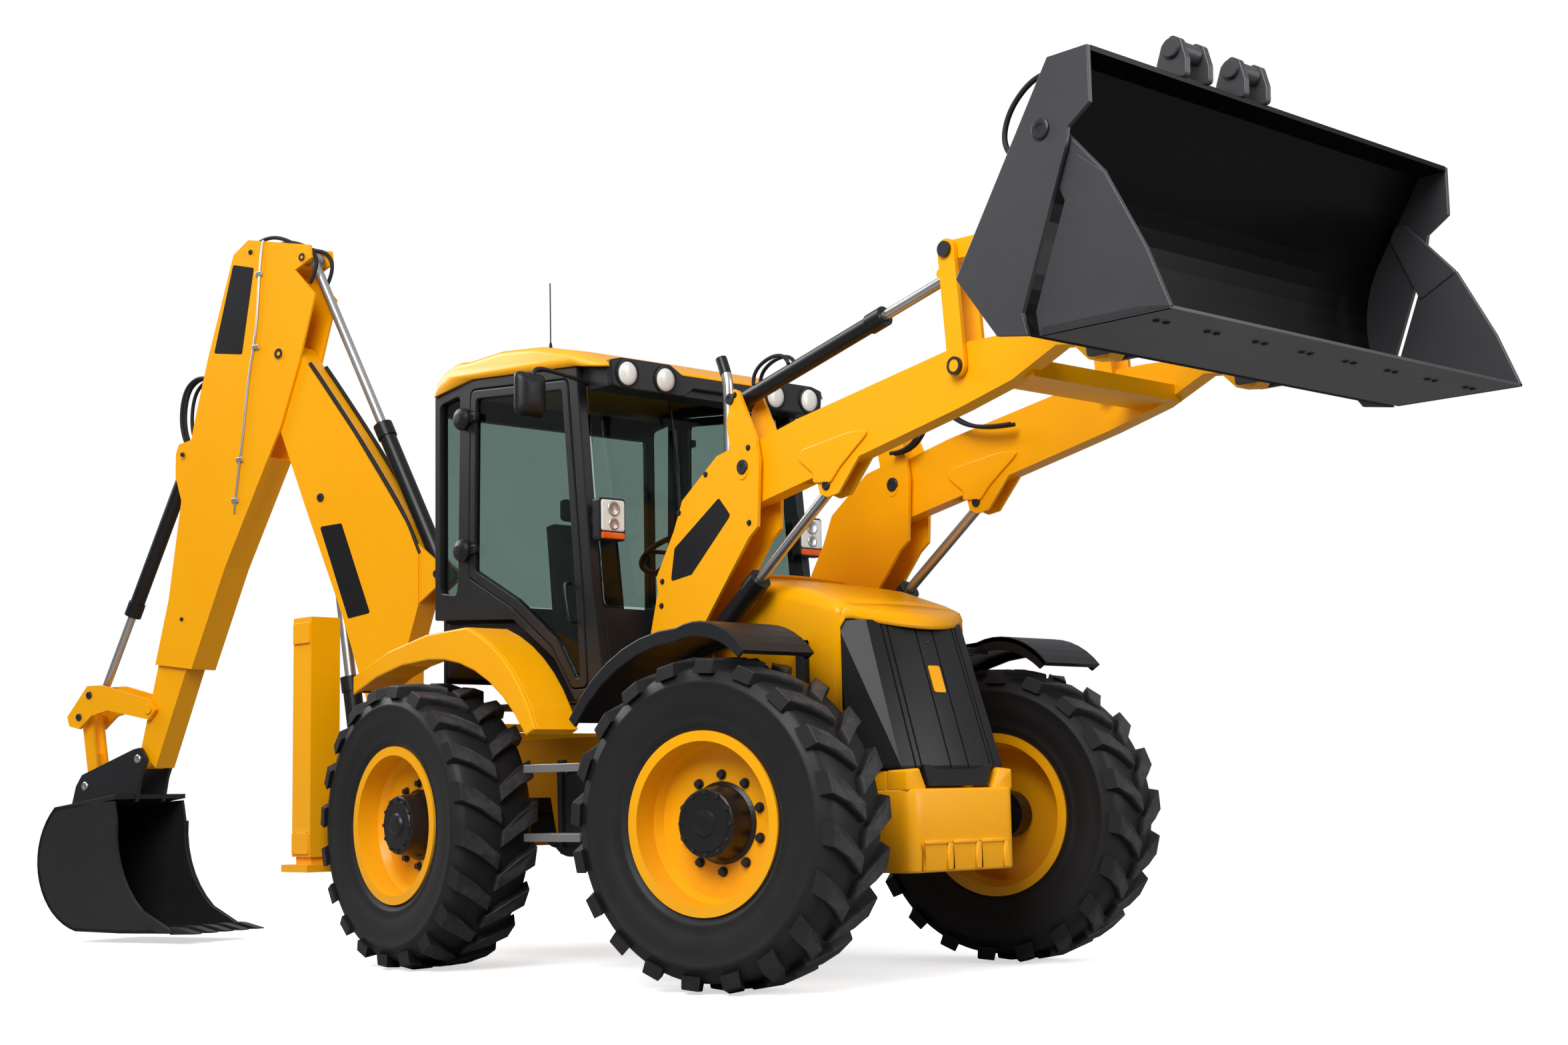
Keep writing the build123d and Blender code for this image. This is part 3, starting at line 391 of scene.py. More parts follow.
# one lug, its forward and outward outline laid over the round tread, repeated round both sides
lug_tree, lug_in = new_group("tyre_lugs", "GeometryNodeTree", [("Lug", "Geometry"), ("Count", "Int"),
    ("Finish", "Material")], [("Tread", "Geometry")])
lug_spread = add_node(lug_tree, "GeometryNodeMeshLine", {"Offset": (0, 0, 0), "Count": lug_in.outputs["Count"]},
    mode="OFFSET")
lug_number = add_node(lug_tree, "GeometryNodeInputIndex")
lug_pitch = add_node(lug_tree, "ShaderNodeMath", {0: math.tau, 1: lug_in.outputs["Count"]}, operation="DIVIDE")
lug_angle = add_node(lug_tree, "ShaderNodeMath", {0: lug_number, 1: lug_pitch}, operation="MULTIPLY")
lug_turn = add_node(lug_tree, "ShaderNodeCombineXYZ", {"Y": lug_angle})
lug_copies = add_node(lug_tree, "GeometryNodeInstanceOnPoints", {"Points": lug_spread,
    "Instance": lug_in.outputs["Lug"], "Rotation": lug_turn})
lug_real = add_node(lug_tree, "GeometryNodeRealizeInstances", {"Geometry": lug_copies})
lug_finish = add_node(lug_tree, "GeometryNodeSetMaterial", {"Geometry": lug_real,
    "Material": lug_in.outputs["Finish"]})
add_node(lug_tree, "NodeGroupOutput", {"Tread": lug_finish})


def lug_pair_form():
    """A lug on each side of the tread, half a pitch apart, in the tyre's own frame."""
    form = bmesh.new()
    for side, phase in ((1, 0.0), (-1, math.pi / lugs_per_side)):
        rings = []
        for sink, spread in ((0.060, 0.012), (0.0, 0.0)):
            ring = []
            for forward, outward in lug_foot:
                crown = next(radius for reach, radius in lug_crown if outward <= reach)
                radius = crown - sink
                angle = phase + math.atan2(forward * (1 + spread * 8), radius)
                ring.append(form.verts.new((radius * math.sin(angle), side * (outward + spread * (outward > 0.2)),
                    radius * math.cos(angle))))
            rings.append(ring)
        count = len(lug_foot)
        form.faces.new(rings[1])
        for index in range(count):
            following = (index + 1) % count
            form.faces.new((rings[0][index], rings[0][following], rings[1][following], rings[1][index]))
        form.faces.new(list(reversed(rings[0])))
    bmesh.ops.recalc_face_normals(form, faces=form.faces)
    top_edges = [line for line in form.edges if all(math.hypot(corner.co.x, corner.co.z) > 0.68
        for corner in line.verts)]
    bmesh.ops.bevel(form, geom=top_edges, offset=0.006, segments=2, profile=0.6, affect="EDGES")
    return form


for wheel, forward, side, turned in wheel_table:
    # wear is read from the distance to each wheel's own axle, so each tyre has its own rubber
    middle, outward, fore = wheel_frame(forward, side, turned)
    tread = painted("tyre_rubber_" + wheel, (0.013, 0.013, 0.014), (0.008, 0.008, 0.009), (0.05, 0.046, 0.04), 0.5,
        specular=0.3, scale=240.0, waviness=0.4)
    tree = tread.node_tree
    shader = tree.nodes["Principled BSDF"]
    place = add_node(tree, "ShaderNodeTexCoord")
    centred = add_node(tree, "ShaderNodeMapping", {"Location": middle, "Rotation": (0, 0, math.radians(turned)),
        "Vector": place.outputs["Object"]}, vector_type="TEXTURE")
    flat = add_node(tree, "ShaderNodeVectorMath", {1: (1, 0, 1), 0: centred}, operation="MULTIPLY")
    reach = add_node(tree, "ShaderNodeVectorMath", {0: flat}, operation="LENGTH")
    worn = add_node(tree, "ShaderNodeMapRange", {"From Min": 0.684, "From Max": 0.700, "To Max": 0.8,
        "Value": reach.outputs["Value"]})
    grit = add_node(tree, "ShaderNodeTexNoise", {"Scale": 26.0, "Detail": 5.0, "Vector": place.outputs["Object"]})
    scuff = add_node(tree, "ShaderNodeMath", {0: worn, 1: grit}, operation="MULTIPLY")
    paler = add_node(tree, "ShaderNodeMix", {7: (0.085, 0.085, 0.09, 1), 0: scuff,
        6: shader.inputs["Base Color"].links[0].from_socket}, data_type="RGBA")
    tree.links.new(paler.outputs[2], shader.inputs["Base Color"])
    lug_mesh = bpy.data.meshes.new("lug_pair")
    lug_form = lug_pair_form()
    lug_form.to_mesh(lug_mesh)
    lug_form.free()
    form = bmesh.new()
    form.from_mesh(grown("lug_pair", lug_mesh, lug_tree, {"Count": lugs_per_side, "Finish": tread}))
    bmesh.ops.transform(form, matrix=Matrix.Translation(middle) @ Matrix.Rotation(math.radians(turned), 4, "Z"),
        verts=form.verts)
    built("tyre_lugs_" + wheel, form, tread, "wheel_" + wheel)
    form = bmesh.new()
    lathe(form, carcass_profile, middle, outward, 96)
    bmesh.ops.remove_doubles(form, verts=form.verts, dist=0.0002)
    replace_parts(built("tyre_carcass_" + wheel, form, tread, "wheel_" + wheel, smooth=True), "tyre_" + wheel)

# ---------------------------------------------------------------- nose
# The counterweight ahead of the front axle: a casting with rounded corners, a wide notch for the
# grille's foot and three slanted recesses along its lower edge.


def arcs(*runs):
    """An outline from corners and arcs, an arc given as its start, middle and end."""
    outline = []
    for run in runs:
        if not isinstance(run[0], tuple):
            outline.append(run)
            continue
        (x1, y1), (x2, y2), (x3, y3) = run
        twice = 2 * (x1 * (y2 - y3) + x2 * (y3 - y1) + x3 * (y1 - y2))
        cx = ((x1 ** 2 + y1 ** 2) * (y2 - y3) + (x2 ** 2 + y2 ** 2) * (y3 - y1) +
            (x3 ** 2 + y3 ** 2) * (y1 - y2)) / twice
        cy = ((x1 ** 2 + y1 ** 2) * (x3 - x2) + (x2 ** 2 + y2 ** 2) * (x1 - x3) +
            (x3 ** 2 + y3 ** 2) * (x2 - x1)) / twice
        radius = math.hypot(x1 - cx, y1 - cy)
        start, through, end = (math.atan2(y - cy, x - cx) for x, y in run)
        sweep = (end - start) % math.tau
        if (through - start) % math.tau > sweep:
            sweep -= math.tau
        steps = max(3, round(abs(sweep) / 0.13))
        for step in range(steps + 1):
            angle = start + sweep * step / steps
            corner = (cx + radius * math.cos(angle), cy + radius * math.sin(angle))
            if not outline or math.dist(outline[-1], corner) > 1e-6:
                outline.append(corner)
    return outline


def rounded(outline, radius):
    """An outline with each corner turned into a small arc; radius is one number or one for each corner."""
    made = []
    for index, corner in enumerate(outline):
        corner, before, after = Vector(corner), Vector(outline[index - 1]), Vector(
            outline[(index + 1) % len(outline)])
        back, on = (before - corner), (after - corner)
        own = radius[index] if isinstance(radius, (list, tuple)) else radius
        half = back.angle(on) / 2
        reach = min(own / math.tan(half), 0.48 * back.length, 0.48 * on.length)
        start, end = corner + reach * back.normalized(), corner + reach * on.normalized()
        for step in range(7):
            share = step / 6
            made.append(tuple((1 - share) ** 2 * start + 2 * share * (1 - share) * corner + share ** 2 * end))
    return made


def plate(outlines, place, low, high, edge=0.003):
    """A plate with holes and softened edges: the first outline is its edge, the others its openings."""
    low, high = sorted((low, high))
    line = bpy.data.curves.new("plate", "CURVE")
    for setting, value in (("dimensions", "2D"), ("fill_mode", "BOTH"), ("extrude", (high - low) / 2 - edge),
                           ("bevel_depth", edge), ("offset", -edge), ("bevel_resolution", 1)):
        setattr(line, setting, value)
    for outline in outlines:
        spline = line.splines.new("POLY")
        spline.points.add(len(outline) - 1)
        for knot, (u, v) in zip(spline.points, outline):
            knot.co = (u / 1000, v / 1000, 0, 1)
        spline.use_cyclic_u = True
    form = bmesh.new()
    form.from_mesh(settled(stand("plate", line)))
    bmesh.ops.remove_doubles(form, verts=form.verts, dist=0.00002)
    for corner in form.verts:
        corner.co = place(1000 * corner.co.x, 1000 * corner.co.y, corner.co.z + (low + high) / 2)
    return form


def oblong(u_low, v_low, u_high, v_high, radius=0):
    """The outline of a rectangle from two opposite corners."""
    corners = [(u_low, v_low), (u_high, v_low), (u_high, v_high), (u_low, v_high)]
    return rounded(corners, radius) if radius else corners


def bridge(form, rows, closed=False, capped=False):
    """Faces between rows of corners, closed round each row and over the first and last if asked."""
    for row, following in zip(rows, rows[1:]):
        for index in range(len(row) - (not closed)):
            onward = (index + 1) % len(row)
            form.faces.new((row[index], row[onward], following[onward], following[index]))
    if capped:
        form.faces.new(rows[0])
        form.faces.new(list(reversed(rows[-1])))


def from_side(u, v, w):
    """Outlines seen from the side: u forward of the rear axle and v up in mm, w to the left in metres."""
    return at(u, 1000 * w, v)


def from_top(u, v, w):
    """Outlines seen from above: u forward of the rear axle and v to the left in mm, w up in metres."""
    return at(u, v, 1000 * w)


def from_front(u, v, w):
    """Outlines seen from the front: u to the left and v up in mm, w forward of the rear axle in metres."""
    return at(1000 * w, u, v)


nose_low, nose_half, nose_back, nose_front = 474, 345, 2420, 2745
nose_plan = rounded(oblong(nose_back, -nose_half, nose_front, nose_half), [10, 70, 70, 10])
notch_floor, notch_back = 836, 2600
form = plate([nose_plan], from_top, nose_low / 1000, notch_floor / 1000, 0.012)
shoulders = []
for side in (-1, 1):
    shoulder = rounded([(side * 262, 925), (side * 215, notch_floor - 10), (side * 344, notch_floor - 10),
        (side * 344, 918)], 12)
    shoulders.append(plate([shoulder], from_front, notch_back / 1000, (nose_front - 18) / 1000, 0.010))
shoulders.append(plate([oblong(-344, 916, 344, 826, 12)], from_front, nose_back / 1000, notch_back / 1000, 0.008))
for centre in (-185, 0, 185):
    # raised frames between the slanted recesses
    for low_y, high_y in ((centre + 66, centre + 106), (centre - 92, centre - 80)):
        shoulders.append(plate([[(low_y - 6, 484), (high_y, 484), (high_y - 14, 600), (low_y, 600)]], from_front,
            (nose_front - 8) / 1000, (nose_front + 9) / 1000, 0.004))
    shoulders.append(plate([[(centre - 84, 596), (centre + 100, 596), (centre + 92, 612), (centre - 74, 612)]],
        from_front, (nose_front - 8) / 1000, (nose_front + 9) / 1000, 0.004))
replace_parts(built("nose_casting", [form] + shoulders, yellow_paint, smooth=True), "nose")

# ---------------------------------------------------------------- grille, bonnet and cowl
# The grille is one moulded black panel in five strips with deep seams between them. The bonnet
# and the cowl behind it are drawn steel sheet in yellow, with round shoulders and a bowed lip.
black_plastic = painted("black_plastic", (0.012, 0.012, 0.014), (0.008, 0.008, 0.009), (0.05, 0.046, 0.04), 0.38,
    specular=0.32, scale=420.0, waviness=0.25)
grille_rows = (  # height, middle of the bow, front corner and its half width, back corner and its half width
    (1588, 2510, 2466, 310, 2368, 400), (1576, 2516, 2471, 311, 2371, 401), (935, 2724, 2680, 330, 2442, 401),
    (925, 2722, 2676, 328, 2444, 399))
seam_places, seam_half, seam_depth = (-0.775, -0.68, -0.175, 0.175, 0.68, 0.775), 0.014, 12


def grille_row(height, middle, front, front_half, back, back_half, inset=0):
    """Points along one level of the grille's face, dipping at its seams, from right to left."""
    stops = sorted([-1.0, 1.0] + [seam + shift for seam in seam_places
        for shift in (-seam_half, -0.6 * seam_half, 0.6 * seam_half, seam_half)] +
        [step / 14 for step in range(-13, 14) if min(abs(step / 14 - seam) for seam in seam_places) > 2 * seam_half])
    row = [(back - inset, -back_half + inset)]
    for stop in stops:
        dip = seam_depth if min(abs(stop - seam) for seam in seam_places) < 0.8 * seam_half else 0
        row.append((middle - (middle - front) * stop ** 2 - dip - inset, stop * (front_half - inset)))
    return row + [(back - inset, back_half - inset)], height


form = bmesh.new()
panel_wall = 14
skins = []
for inset in (0, panel_wall):
    skins.append([[form.verts.new(at(x, y, height - 4 * (inset > 0 and height > 1500))) for x, y in row]
                  for row, height in (grille_row(*level, inset=inset) for level in grille_rows)])
    bridge(form, skins[-1])
for end in (0, -1):
    bridge(form, [skin[end] for skin in skins])
for end in (0, -1):
    bridge(form, [[row[end] for row in skin] for skin in skins])
tongue = plate([[(-222, 940), (-190, 846), (190, 846), (222, 940)]], from_front, 2.664, 2.712, 0.004)
shelf = plate([oblong(2444, -225, 2690, 225, 10)], from_top, 0.922, 0.936, 0.003)
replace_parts(built("grille_panel", [form, tongue, shelf], black_plastic), "grille")

sheet = 0.006       # the wall of the bonnet and the cowl
hood_stations = [(1190, 1862, 70), (1568, 1862, 70), (1800, 1832, 76), (2080, 1786, 80), (2340, 1698, 62),
    (2570, 1594, 42)]
hood_crown, hood_half = 12, 404


def hood_rows(low, high, foot):
    """Cross-sections of the hood from one place to another; foot(x) gives the lower edge's height."""
    places = sorted({low, high} | {x for x, top, shoulder in hood_stations if low < x < high} | {low +
        (high - low) * step / 12 for step in range(13)})
    rows = []
    for x in places:
        (x1, top1, turn1), (x2, top2, turn2) = next(pair for pair in zip(hood_stations, hood_stations[1:])
            if pair[0][0] <= x <= pair[1][0])
        share = (x - x1) / (x2 - x1)
        top, turn = top1 + share * (top2 - top1), turn1 + share * (turn2 - turn1)
        section = [(-hood_half, foot(x)), (-hood_half, top - hood_crown - turn)]
        section += [(-hood_half + turn - turn * math.cos(math.pi / 2 * step / 8), top - hood_crown - turn +
            turn * math.sin(math.pi / 2 * step / 8)) for step in range(1, 9)]
        flat = hood_half - turn
        section += [(flat * (step / 8), top - hood_crown * (step / 8) ** 2) for step in range(-7, 8)]
        section += [(-y, z) for y, z in reversed(section[:10])]
        rows.append((x, section))
    return rows


def hood_sheet(rows):
    """A sheet over the rows."""
    form = bmesh.new()
    bridge(form, [[form.verts.new(at(x, y, z)) for y, z in section] for x, section in rows])
    bmesh.ops.recalc_face_normals(form, faces=form.faces)
    return form


def thicken(form, name):
    """Gives a sheet its wall, inward, as a plain mesh."""
    mesh = bpy.data.meshes.new(name)
    form.to_mesh(mesh)
    form.free()
    holder = stand(name, mesh)
    wall = holder.modifiers.new("wall", "SOLIDIFY")
    wall.thickness = sheet
    wall.offset = -1
    return settled(holder)


def side_foot(x):
    """Lower edge of the bonnet's side: level behind, then falling to the grille's foot."""
    return 1450 if x < 1860 else 1450 - (x - 1860) * (1450 - 1030) / (2434 - 1860)


bonnet_form = hood_sheet(hood_rows(1572, 2400, side_foot))
# the lip over the grille: the crown runs on forward in a bow and turns down at its edge
lip_form = bmesh.new()
lip_start = 2396
lip_rows = []
for reach, drop in ((0.0, 0), (0.35, 0), (0.7, 0), (0.9, 0), (1.0, 34), (1.0, 52)):
    row = []
    for step in range(-16, 17):
        y = hood_half * step / 16
        x = lip_start + reach * max(2552 - 164 * (step / 16) ** 2 - lip_start, 2)
        share = (min(x, 2569) - 2340) / 230
        crown, turn = 1698 - share * 104, 62 - share * 20
        flat = hood_half - turn
        over = max(0, abs(y) - flat)
        z = crown - hood_crown * min(1, abs(y) / flat) ** 2 - (turn - math.sqrt(max(turn ** 2 - over ** 2, 0))) - drop
        row.append(lip_form.verts.new(at(x, y * (1 if abs(step) < 16 else 0.999), z)))
    lip_rows.append(row)
bridge(lip_form, lip_rows)
# the shut line leans forward above this height, so that the bonnet can rise past the cowl
shut_place, shut_height, cowl_narrowing = 1.5725, 1.762, 0.975
for corner in bonnet_form.verts:
    if corner.co.x < rear_axle + shut_place:
        corner.co.x += 1.18 * max(0, corner.co.z - shut_height)
bonnet_form = join_forms([bonnet_form, lip_form])
bmesh.ops.remove_doubles(bonnet_form, verts=bonnet_form.verts, dist=0.004)
bmesh.ops.recalc_face_normals(bonnet_form, faces=bonnet_form.faces)
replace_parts(new_piece("bonnet_sheet", thicken(bonnet_form, "bonnet_sheet"), yellow_paint, "bonnet"), "bonnet")
cowl_form = hood_sheet(hood_rows(1192, 1562, lambda x: 1450))
for corner in cowl_form.verts:
    corner.co.y *= cowl_narrowing
    if corner.co.x > rear_axle + shut_place - 0.011:
        corner.co.x += 1.12 * max(0, corner.co.z - shut_height)
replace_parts(new_piece("cowl_sheet", thicken(cowl_form, "cowl_sheet"), yellow_paint), "cowl")

badge_low, badge_high = (2618, 1262), (2579, 1384)


def on_grille(u, v, depth):
    """A place on the middle strip of the grille: u across in mm, v up."""
    share = (v - badge_low[1]) / (badge_high[1] - badge_low[1])
    return at(badge_low[0] + share * (badge_high[0] - badge_low[0]) + 1000 * depth, u, v)


form = plate([oblong(-36, badge_low[1], 36, badge_high[1], 12)], on_grille, -0.004, 0.005, 0.002)
built("blank_badge", form, yellow_paint)
form = bmesh.new()
lathe(form, [(0, -0.004), (0.013, -0.004), (0.013, 0.005), (0.009, 0.008), (0.006, 0.005), (0, 0.005)],
    at(2539, 0, 1492), (1, 0, 0.33), 24)
built("bonnet_lock", form, dark_steel)

# ---------------------------------------------------------------- exhaust
# The exhaust stands up through the cowl: a black pipe, a bright heat shield round its upper
# part, and a black cut-off tip that leans back.
bright_steel = painted("bright_steel", (0.62, 0.61, 0.60), (0.50, 0.49, 0.48), (0.2, 0.17, 0.13), 0.30, metallic=0.9,
    scale=120.0, waviness=0.1)


def pipe(name, points, radius, material, body="chassis", order=4):
    """A smooth bent pipe or hose along the pull of these points, as a plain mesh."""
    line = bpy.data.curves.new(name, "CURVE")
    for setting, value in (("dimensions", "3D"), ("bevel_depth", radius), ("bevel_resolution", 4),
                           ("resolution_u", 8), ("use_fill_caps", True)):
        setattr(line, setting, value)
    spline = line.splines.new("NURBS")
    spline.points.add(len(points) - 1)
    for knot, place in zip(spline.points, points):
        knot.co = (*place, 1)
    spline.use_endpoint_u = True
    spline.order_u = order
    return new_piece(name, settled(stand(name + "_line", line)), material, body)


pipe("exhaust_pipe", [at(1440, -190, 1700), at(1440, -190, 2000), at(1440, -190, 2400)], 0.034, black_paint,
    "chassis", 2)
pipe("exhaust_shield", [at(1440, -190, 2380), at(1440, -190, 2600), at(1440, -190, 2800), at(1438, -190, 2840),
    at(1418, -190, 2890)], 0.027, bright_steel)
pipe("exhaust_tip", [at(1424, -190, 2872), at(1414, -190, 2900), at(1404, -190, 2925), at(1390, -190, 2956)], 0.029,
    black_paint)

# ---------------------------------------------------------------- cab frame
# Welded hollow sections under black plastic trim: two side frames with rounded door and window
# openings, joined by cross rails, a floor with the front and rear lower panels, and door hinges.
cab_half, post = 735, 55
cab_outline = [(-285, 1760), (-285, 2946), (60, 2990), (935, 2924), (1050, 1800), (1140, 1290), (900, 1290),
    (740, 1500), (400, 1720)]
door_hole = [(40, 2940), (868, 2874), (978, 1790), (1010, 1345), (880, 1345), (725, 1555), (400, 1775), (20, 1960)]
quarter_hole = [(-235, 1900), (-235, 2895), (-55, 2922), (-75, 1960), (-90, 1880)]
inner = (cab_half - post) / 1000
forms = []
for side in (-1, 1):
    forms.append(plate([rounded(cab_outline, 12), rounded(door_hole, 46), rounded(quarter_hole, 30)], from_side,
        side * inner, side * cab_half / 1000, 0.006))
for outline, half_low, half_high in (([(-285, 1430), (-285, 1850), (-255, 1850), (-255, 1430)], -inner, inner),
        ([(1140, 1292), (1062, 1730), (1032, 1730), (1105, 1292)], -inner, inner),
        ([(-285, 2840), (-285, 2944), (-225, 2952), (-225, 2840)], -inner, inner),
        ([(944, 2840), (935, 2924), (870, 2924), (880, 2840)], -inner, inner)):
    forms.append(plate([outline], from_side, half_low, half_high, 0.004))
for side in (-1, 1):
    forms.append(plate([rounded([(-255, 1450), (-255, 1740), (400, 1700), (700, 1500), (1130, 1318), (1130, 1292),
        (640, 1292), (420, 1540), (60, 1600)], 8)], from_side, side * (inner - 0.250), side * inner, 0.004))
forms.append(plate([oblong(-285, -430, 1138, 430)], from_top, 1.290, 1.320, 0.003))
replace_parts(built("cab_shell", forms, black_plastic), "cab_frame")

# ---------------------------------------------------------------- roof
# One moulded yellow roof over the cab, highest behind the middle, with soft edges and a drip lip.
roof_side = arcs((1164, 2916), (1168, 2892), (935, 2926), (60, 2992), (-300, 2947), (-302, 2985),
    ((-300, 2990), (-215, 3070), (0, 3103)), ((0, 3103), (640, 3078), (1164, 2916)))
roof_form = bmesh.new()
roof_rows = []
for share, pull in ((-1.0, 44), (-0.985, 24), (-0.955, 9), (-0.90, 2), (-0.82, 0), (-0.4, 0), (0.0, 0)):
    ring = []
    for x, z in roof_side:
        crown = z > 2993 or (x > 1000 and z > 2900) or (x < -290 and z > 2960)
        ring.append(roof_form.verts.new(at(x - (pull * 0.6 if x > 1100 else 0) + (pull * 0.6 if x < -250 else 0),
            share * 745, z - (pull if crown and z > 2960 else pull * 0.25 * crown))))
    roof_rows.append(ring)
mirrored = [[roof_form.verts.new((corner.co.x, -corner.co.y, corner.co.z)) for corner in ring]
    for ring in reversed(roof_rows[:-1])]
roof_rows += mirrored
bridge(roof_form, roof_rows, closed=True, capped=True)
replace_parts(built("roof_moulding", roof_form, yellow_paint, smooth=True), "cab_roof")

# ---------------------------------------------------------------- visor, lamps, mirrors and aerial
# A black visor under the roof's front edge carries four round work lamps; the head lamps with
# their orange indicators stand on brackets beside the front posts, the mirrors on bent arms.
lamp_lens = painted("lamp_lens", (0.86, 0.86, 0.83), (0.70, 0.70, 0.66), (0.6, 0.58, 0.5), 0.12, coat=0.6,
    scale=90.0, waviness=0.6)
amber_lens = painted("amber_lens", (0.90, 0.13, 0.004), (0.75, 0.09, 0.003), (0.5, 0.2, 0.05), 0.15, coat=0.6,
    scale=160.0, waviness=0.5)
red_lens = painted("red_lens", (0.55, 0.008, 0.006), (0.42, 0.006, 0.005), (0.3, 0.05, 0.04), 0.15, coat=0.6,
    scale=160.0, waviness=0.5)
visor_outline = [(-700, 2800), (-712, 2925), (-640, 2944), (-330, 2944), (-250, 2900), (250, 2900), (330, 2944),
    (640, 2944), (712, 2925), (700, 2800), (640, 2790), (240, 2790), (180, 2836), (-180, 2836), (-240, 2790),
    (-640, 2790)]
forms = [plate([rounded(visor_outline, 18)], from_front, 1.130, 1.172, 0.008),
    plate([[(944, 2842), (936, 2922), (1140, 2890), (1140, 2800), (1000, 2800)]], from_side, -0.70, 0.70, 0.004)]
lens_forms = []
lamp_places = ((-610, 2866), (-370, 2862), (370, 2862), (610, 2866))
for y, z in lamp_places:
    ring, lens = bmesh.new(), bmesh.new()
    lathe(ring, [(0, -0.020), (0.068, -0.020), (0.072, 0.0), (0.070, 0.010), (0.062, 0.012), (0.059, 0.004),
        (0, 0.002)], at(1172, y, z), (1, 0, -0.06), 40)
    lathe(lens, [(0, 0.0), (0.060, 0.0), (0.056, 0.007), (0.036, 0.011), (0.012, 0.013), (0, 0.013)], at(1175, y, z),
        (1, 0, -0.06), 40)
    forms.append(ring)
    lens_forms.append(lens)
built("visor", forms, black_plastic)
built("roof_lamp_lenses", lens_forms, lamp_lens, smooth=True)
for side, hand in side_faces:
    forms = [plate([oblong(side * 662 - 80, 2052, side * 662 + 80, 2258, 18)], from_front, 1.060, 1.116, 0.006),
        plate([oblong(side * 700 - 14, 2130, side * 700 + 14, 2180)], from_front, 1.010, 1.075, 0.003)]
    built("head_lamp_case_" + hand, forms, black_plastic)
    clear = plate([oblong(side * 662 - 70, 2096, side * 662 + 70, 2248, 14)], from_front, 1.104, 1.124, 0.006)
    built("head_lamp_lens_" + hand, clear, lamp_lens)
    form = bmesh.new()
    for z, radius in ((2205, 0.036), (2132, 0.030)):
        lathe(form, [(0, 0), (radius, 0), (radius, 0.004), (radius - 0.006, 0.006), (radius - 0.010, 0.003),
            (0, 0.006)], at(1124, side * 662, z), (1, 0, 0), 28)
    built("head_lamp_bowls_" + hand, form, bright_steel, smooth=True)
    amber = plate([oblong(side * 662 - 70, 2058, side * 662 + 70, 2090, 8)], from_front, 1.104, 1.126, 0.006)
    built("indicator_" + hand, amber, amber_lens)
    pipe("mirror_arm_" + hand, [at(985, side * 700, 2835), at(1000, side * 800, 2850), at(1012, side * 1000, 2872),
        at(1014, side * 1060, 2868), at(1014, side * 1066, 2790)], 0.011, black_plastic)
    shell = bmesh.new()
    rows = []
    for depth, half_width, half_height in ((0.0, 86, 107), (14, 86, 107), (34, 76, 97), (50, 52, 74), (56, 26, 44)):
        outline = oblong(-half_width, -half_height, half_width, half_height, min(36, half_width * 0.8))
        rows.append([shell.verts.new(at(988 + depth, side * 1065 + u, 2738 + v)) for u, v in outline])
    bridge(shell, rows, closed=True, capped=True)
    built("mirror_shell_" + hand, shell, black_plastic, smooth=True)
    face = plate([oblong(side * 1065 - 78, 2640, side * 1065 + 78, 2836, 30)], from_front, 0.984, 0.990, 0.0015)
    built("mirror_face_" + hand, face, bright_steel)
pipe("aerial", [at(419, -500, 3080), at(419, -500, 3200), at(417, -500, 3470)], 0.0035, black_plastic, "chassis", 3)
form = bmesh.new()
lathe(form, [(0, -0.03), (0.030, -0.03), (0.028, 0.010), (0.012, 0.022), (0.006, 0.060), (0, 0.062)],
    at(419, -500, 3096), (0, 0, 1), 24)
built("aerial_foot", form, black_plastic, smooth=True)

# ---------------------------------------------------------------- windows
# Flat tinted safety glass, 6 mm thick, bonded into black rubber: the deep windscreen, the rear
# window and one quarter window each side. One wiper is parked upright on the windscreen.
glass = bpy.data.materials.new("tinted_glass")
glass.use_nodes = True
glass_tree = glass.node_tree
glass_shader = glass_tree.nodes["Principled BSDF"]
for socket, value in (("Roughness", 0.0), ("Transmission Weight", 1.0), ("IOR", 1.2)):
    glass_shader.inputs[socket].default_value = value
glass_place = add_node(glass_tree, "ShaderNodeTexCoord")
glass_haze = add_node(glass_tree, "ShaderNodeTexNoise", {"Scale": 1.6, "Detail": 2.0,
    "Vector": glass_place.outputs["Object"]})
glass_tint = add_node(glass_tree, "ShaderNodeMix", {6: (0.30, 0.38, 0.355, 1), 7: (0.36, 0.44, 0.415, 1),
    0: glass_haze}, data_type="RGBA")
glass_tree.links.new(glass_tint.outputs[2], glass_shader.inputs["Base Color"])
windscreen_top, windscreen_foot = (952, 2835), (1066, 1740)     # forward and up, in mm
pane_forms = []


def on_windscreen(u, v, depth):
    """A place on the windscreen: u to the left and v up in mm, depth ahead of the glass in metres."""
    (top_x, top_z), (foot_x, foot_z) = windscreen_top, windscreen_foot
    return at(top_x + (top_z - v) * (foot_x - top_x) / (top_z - foot_z) + 1000 * depth, u, v)


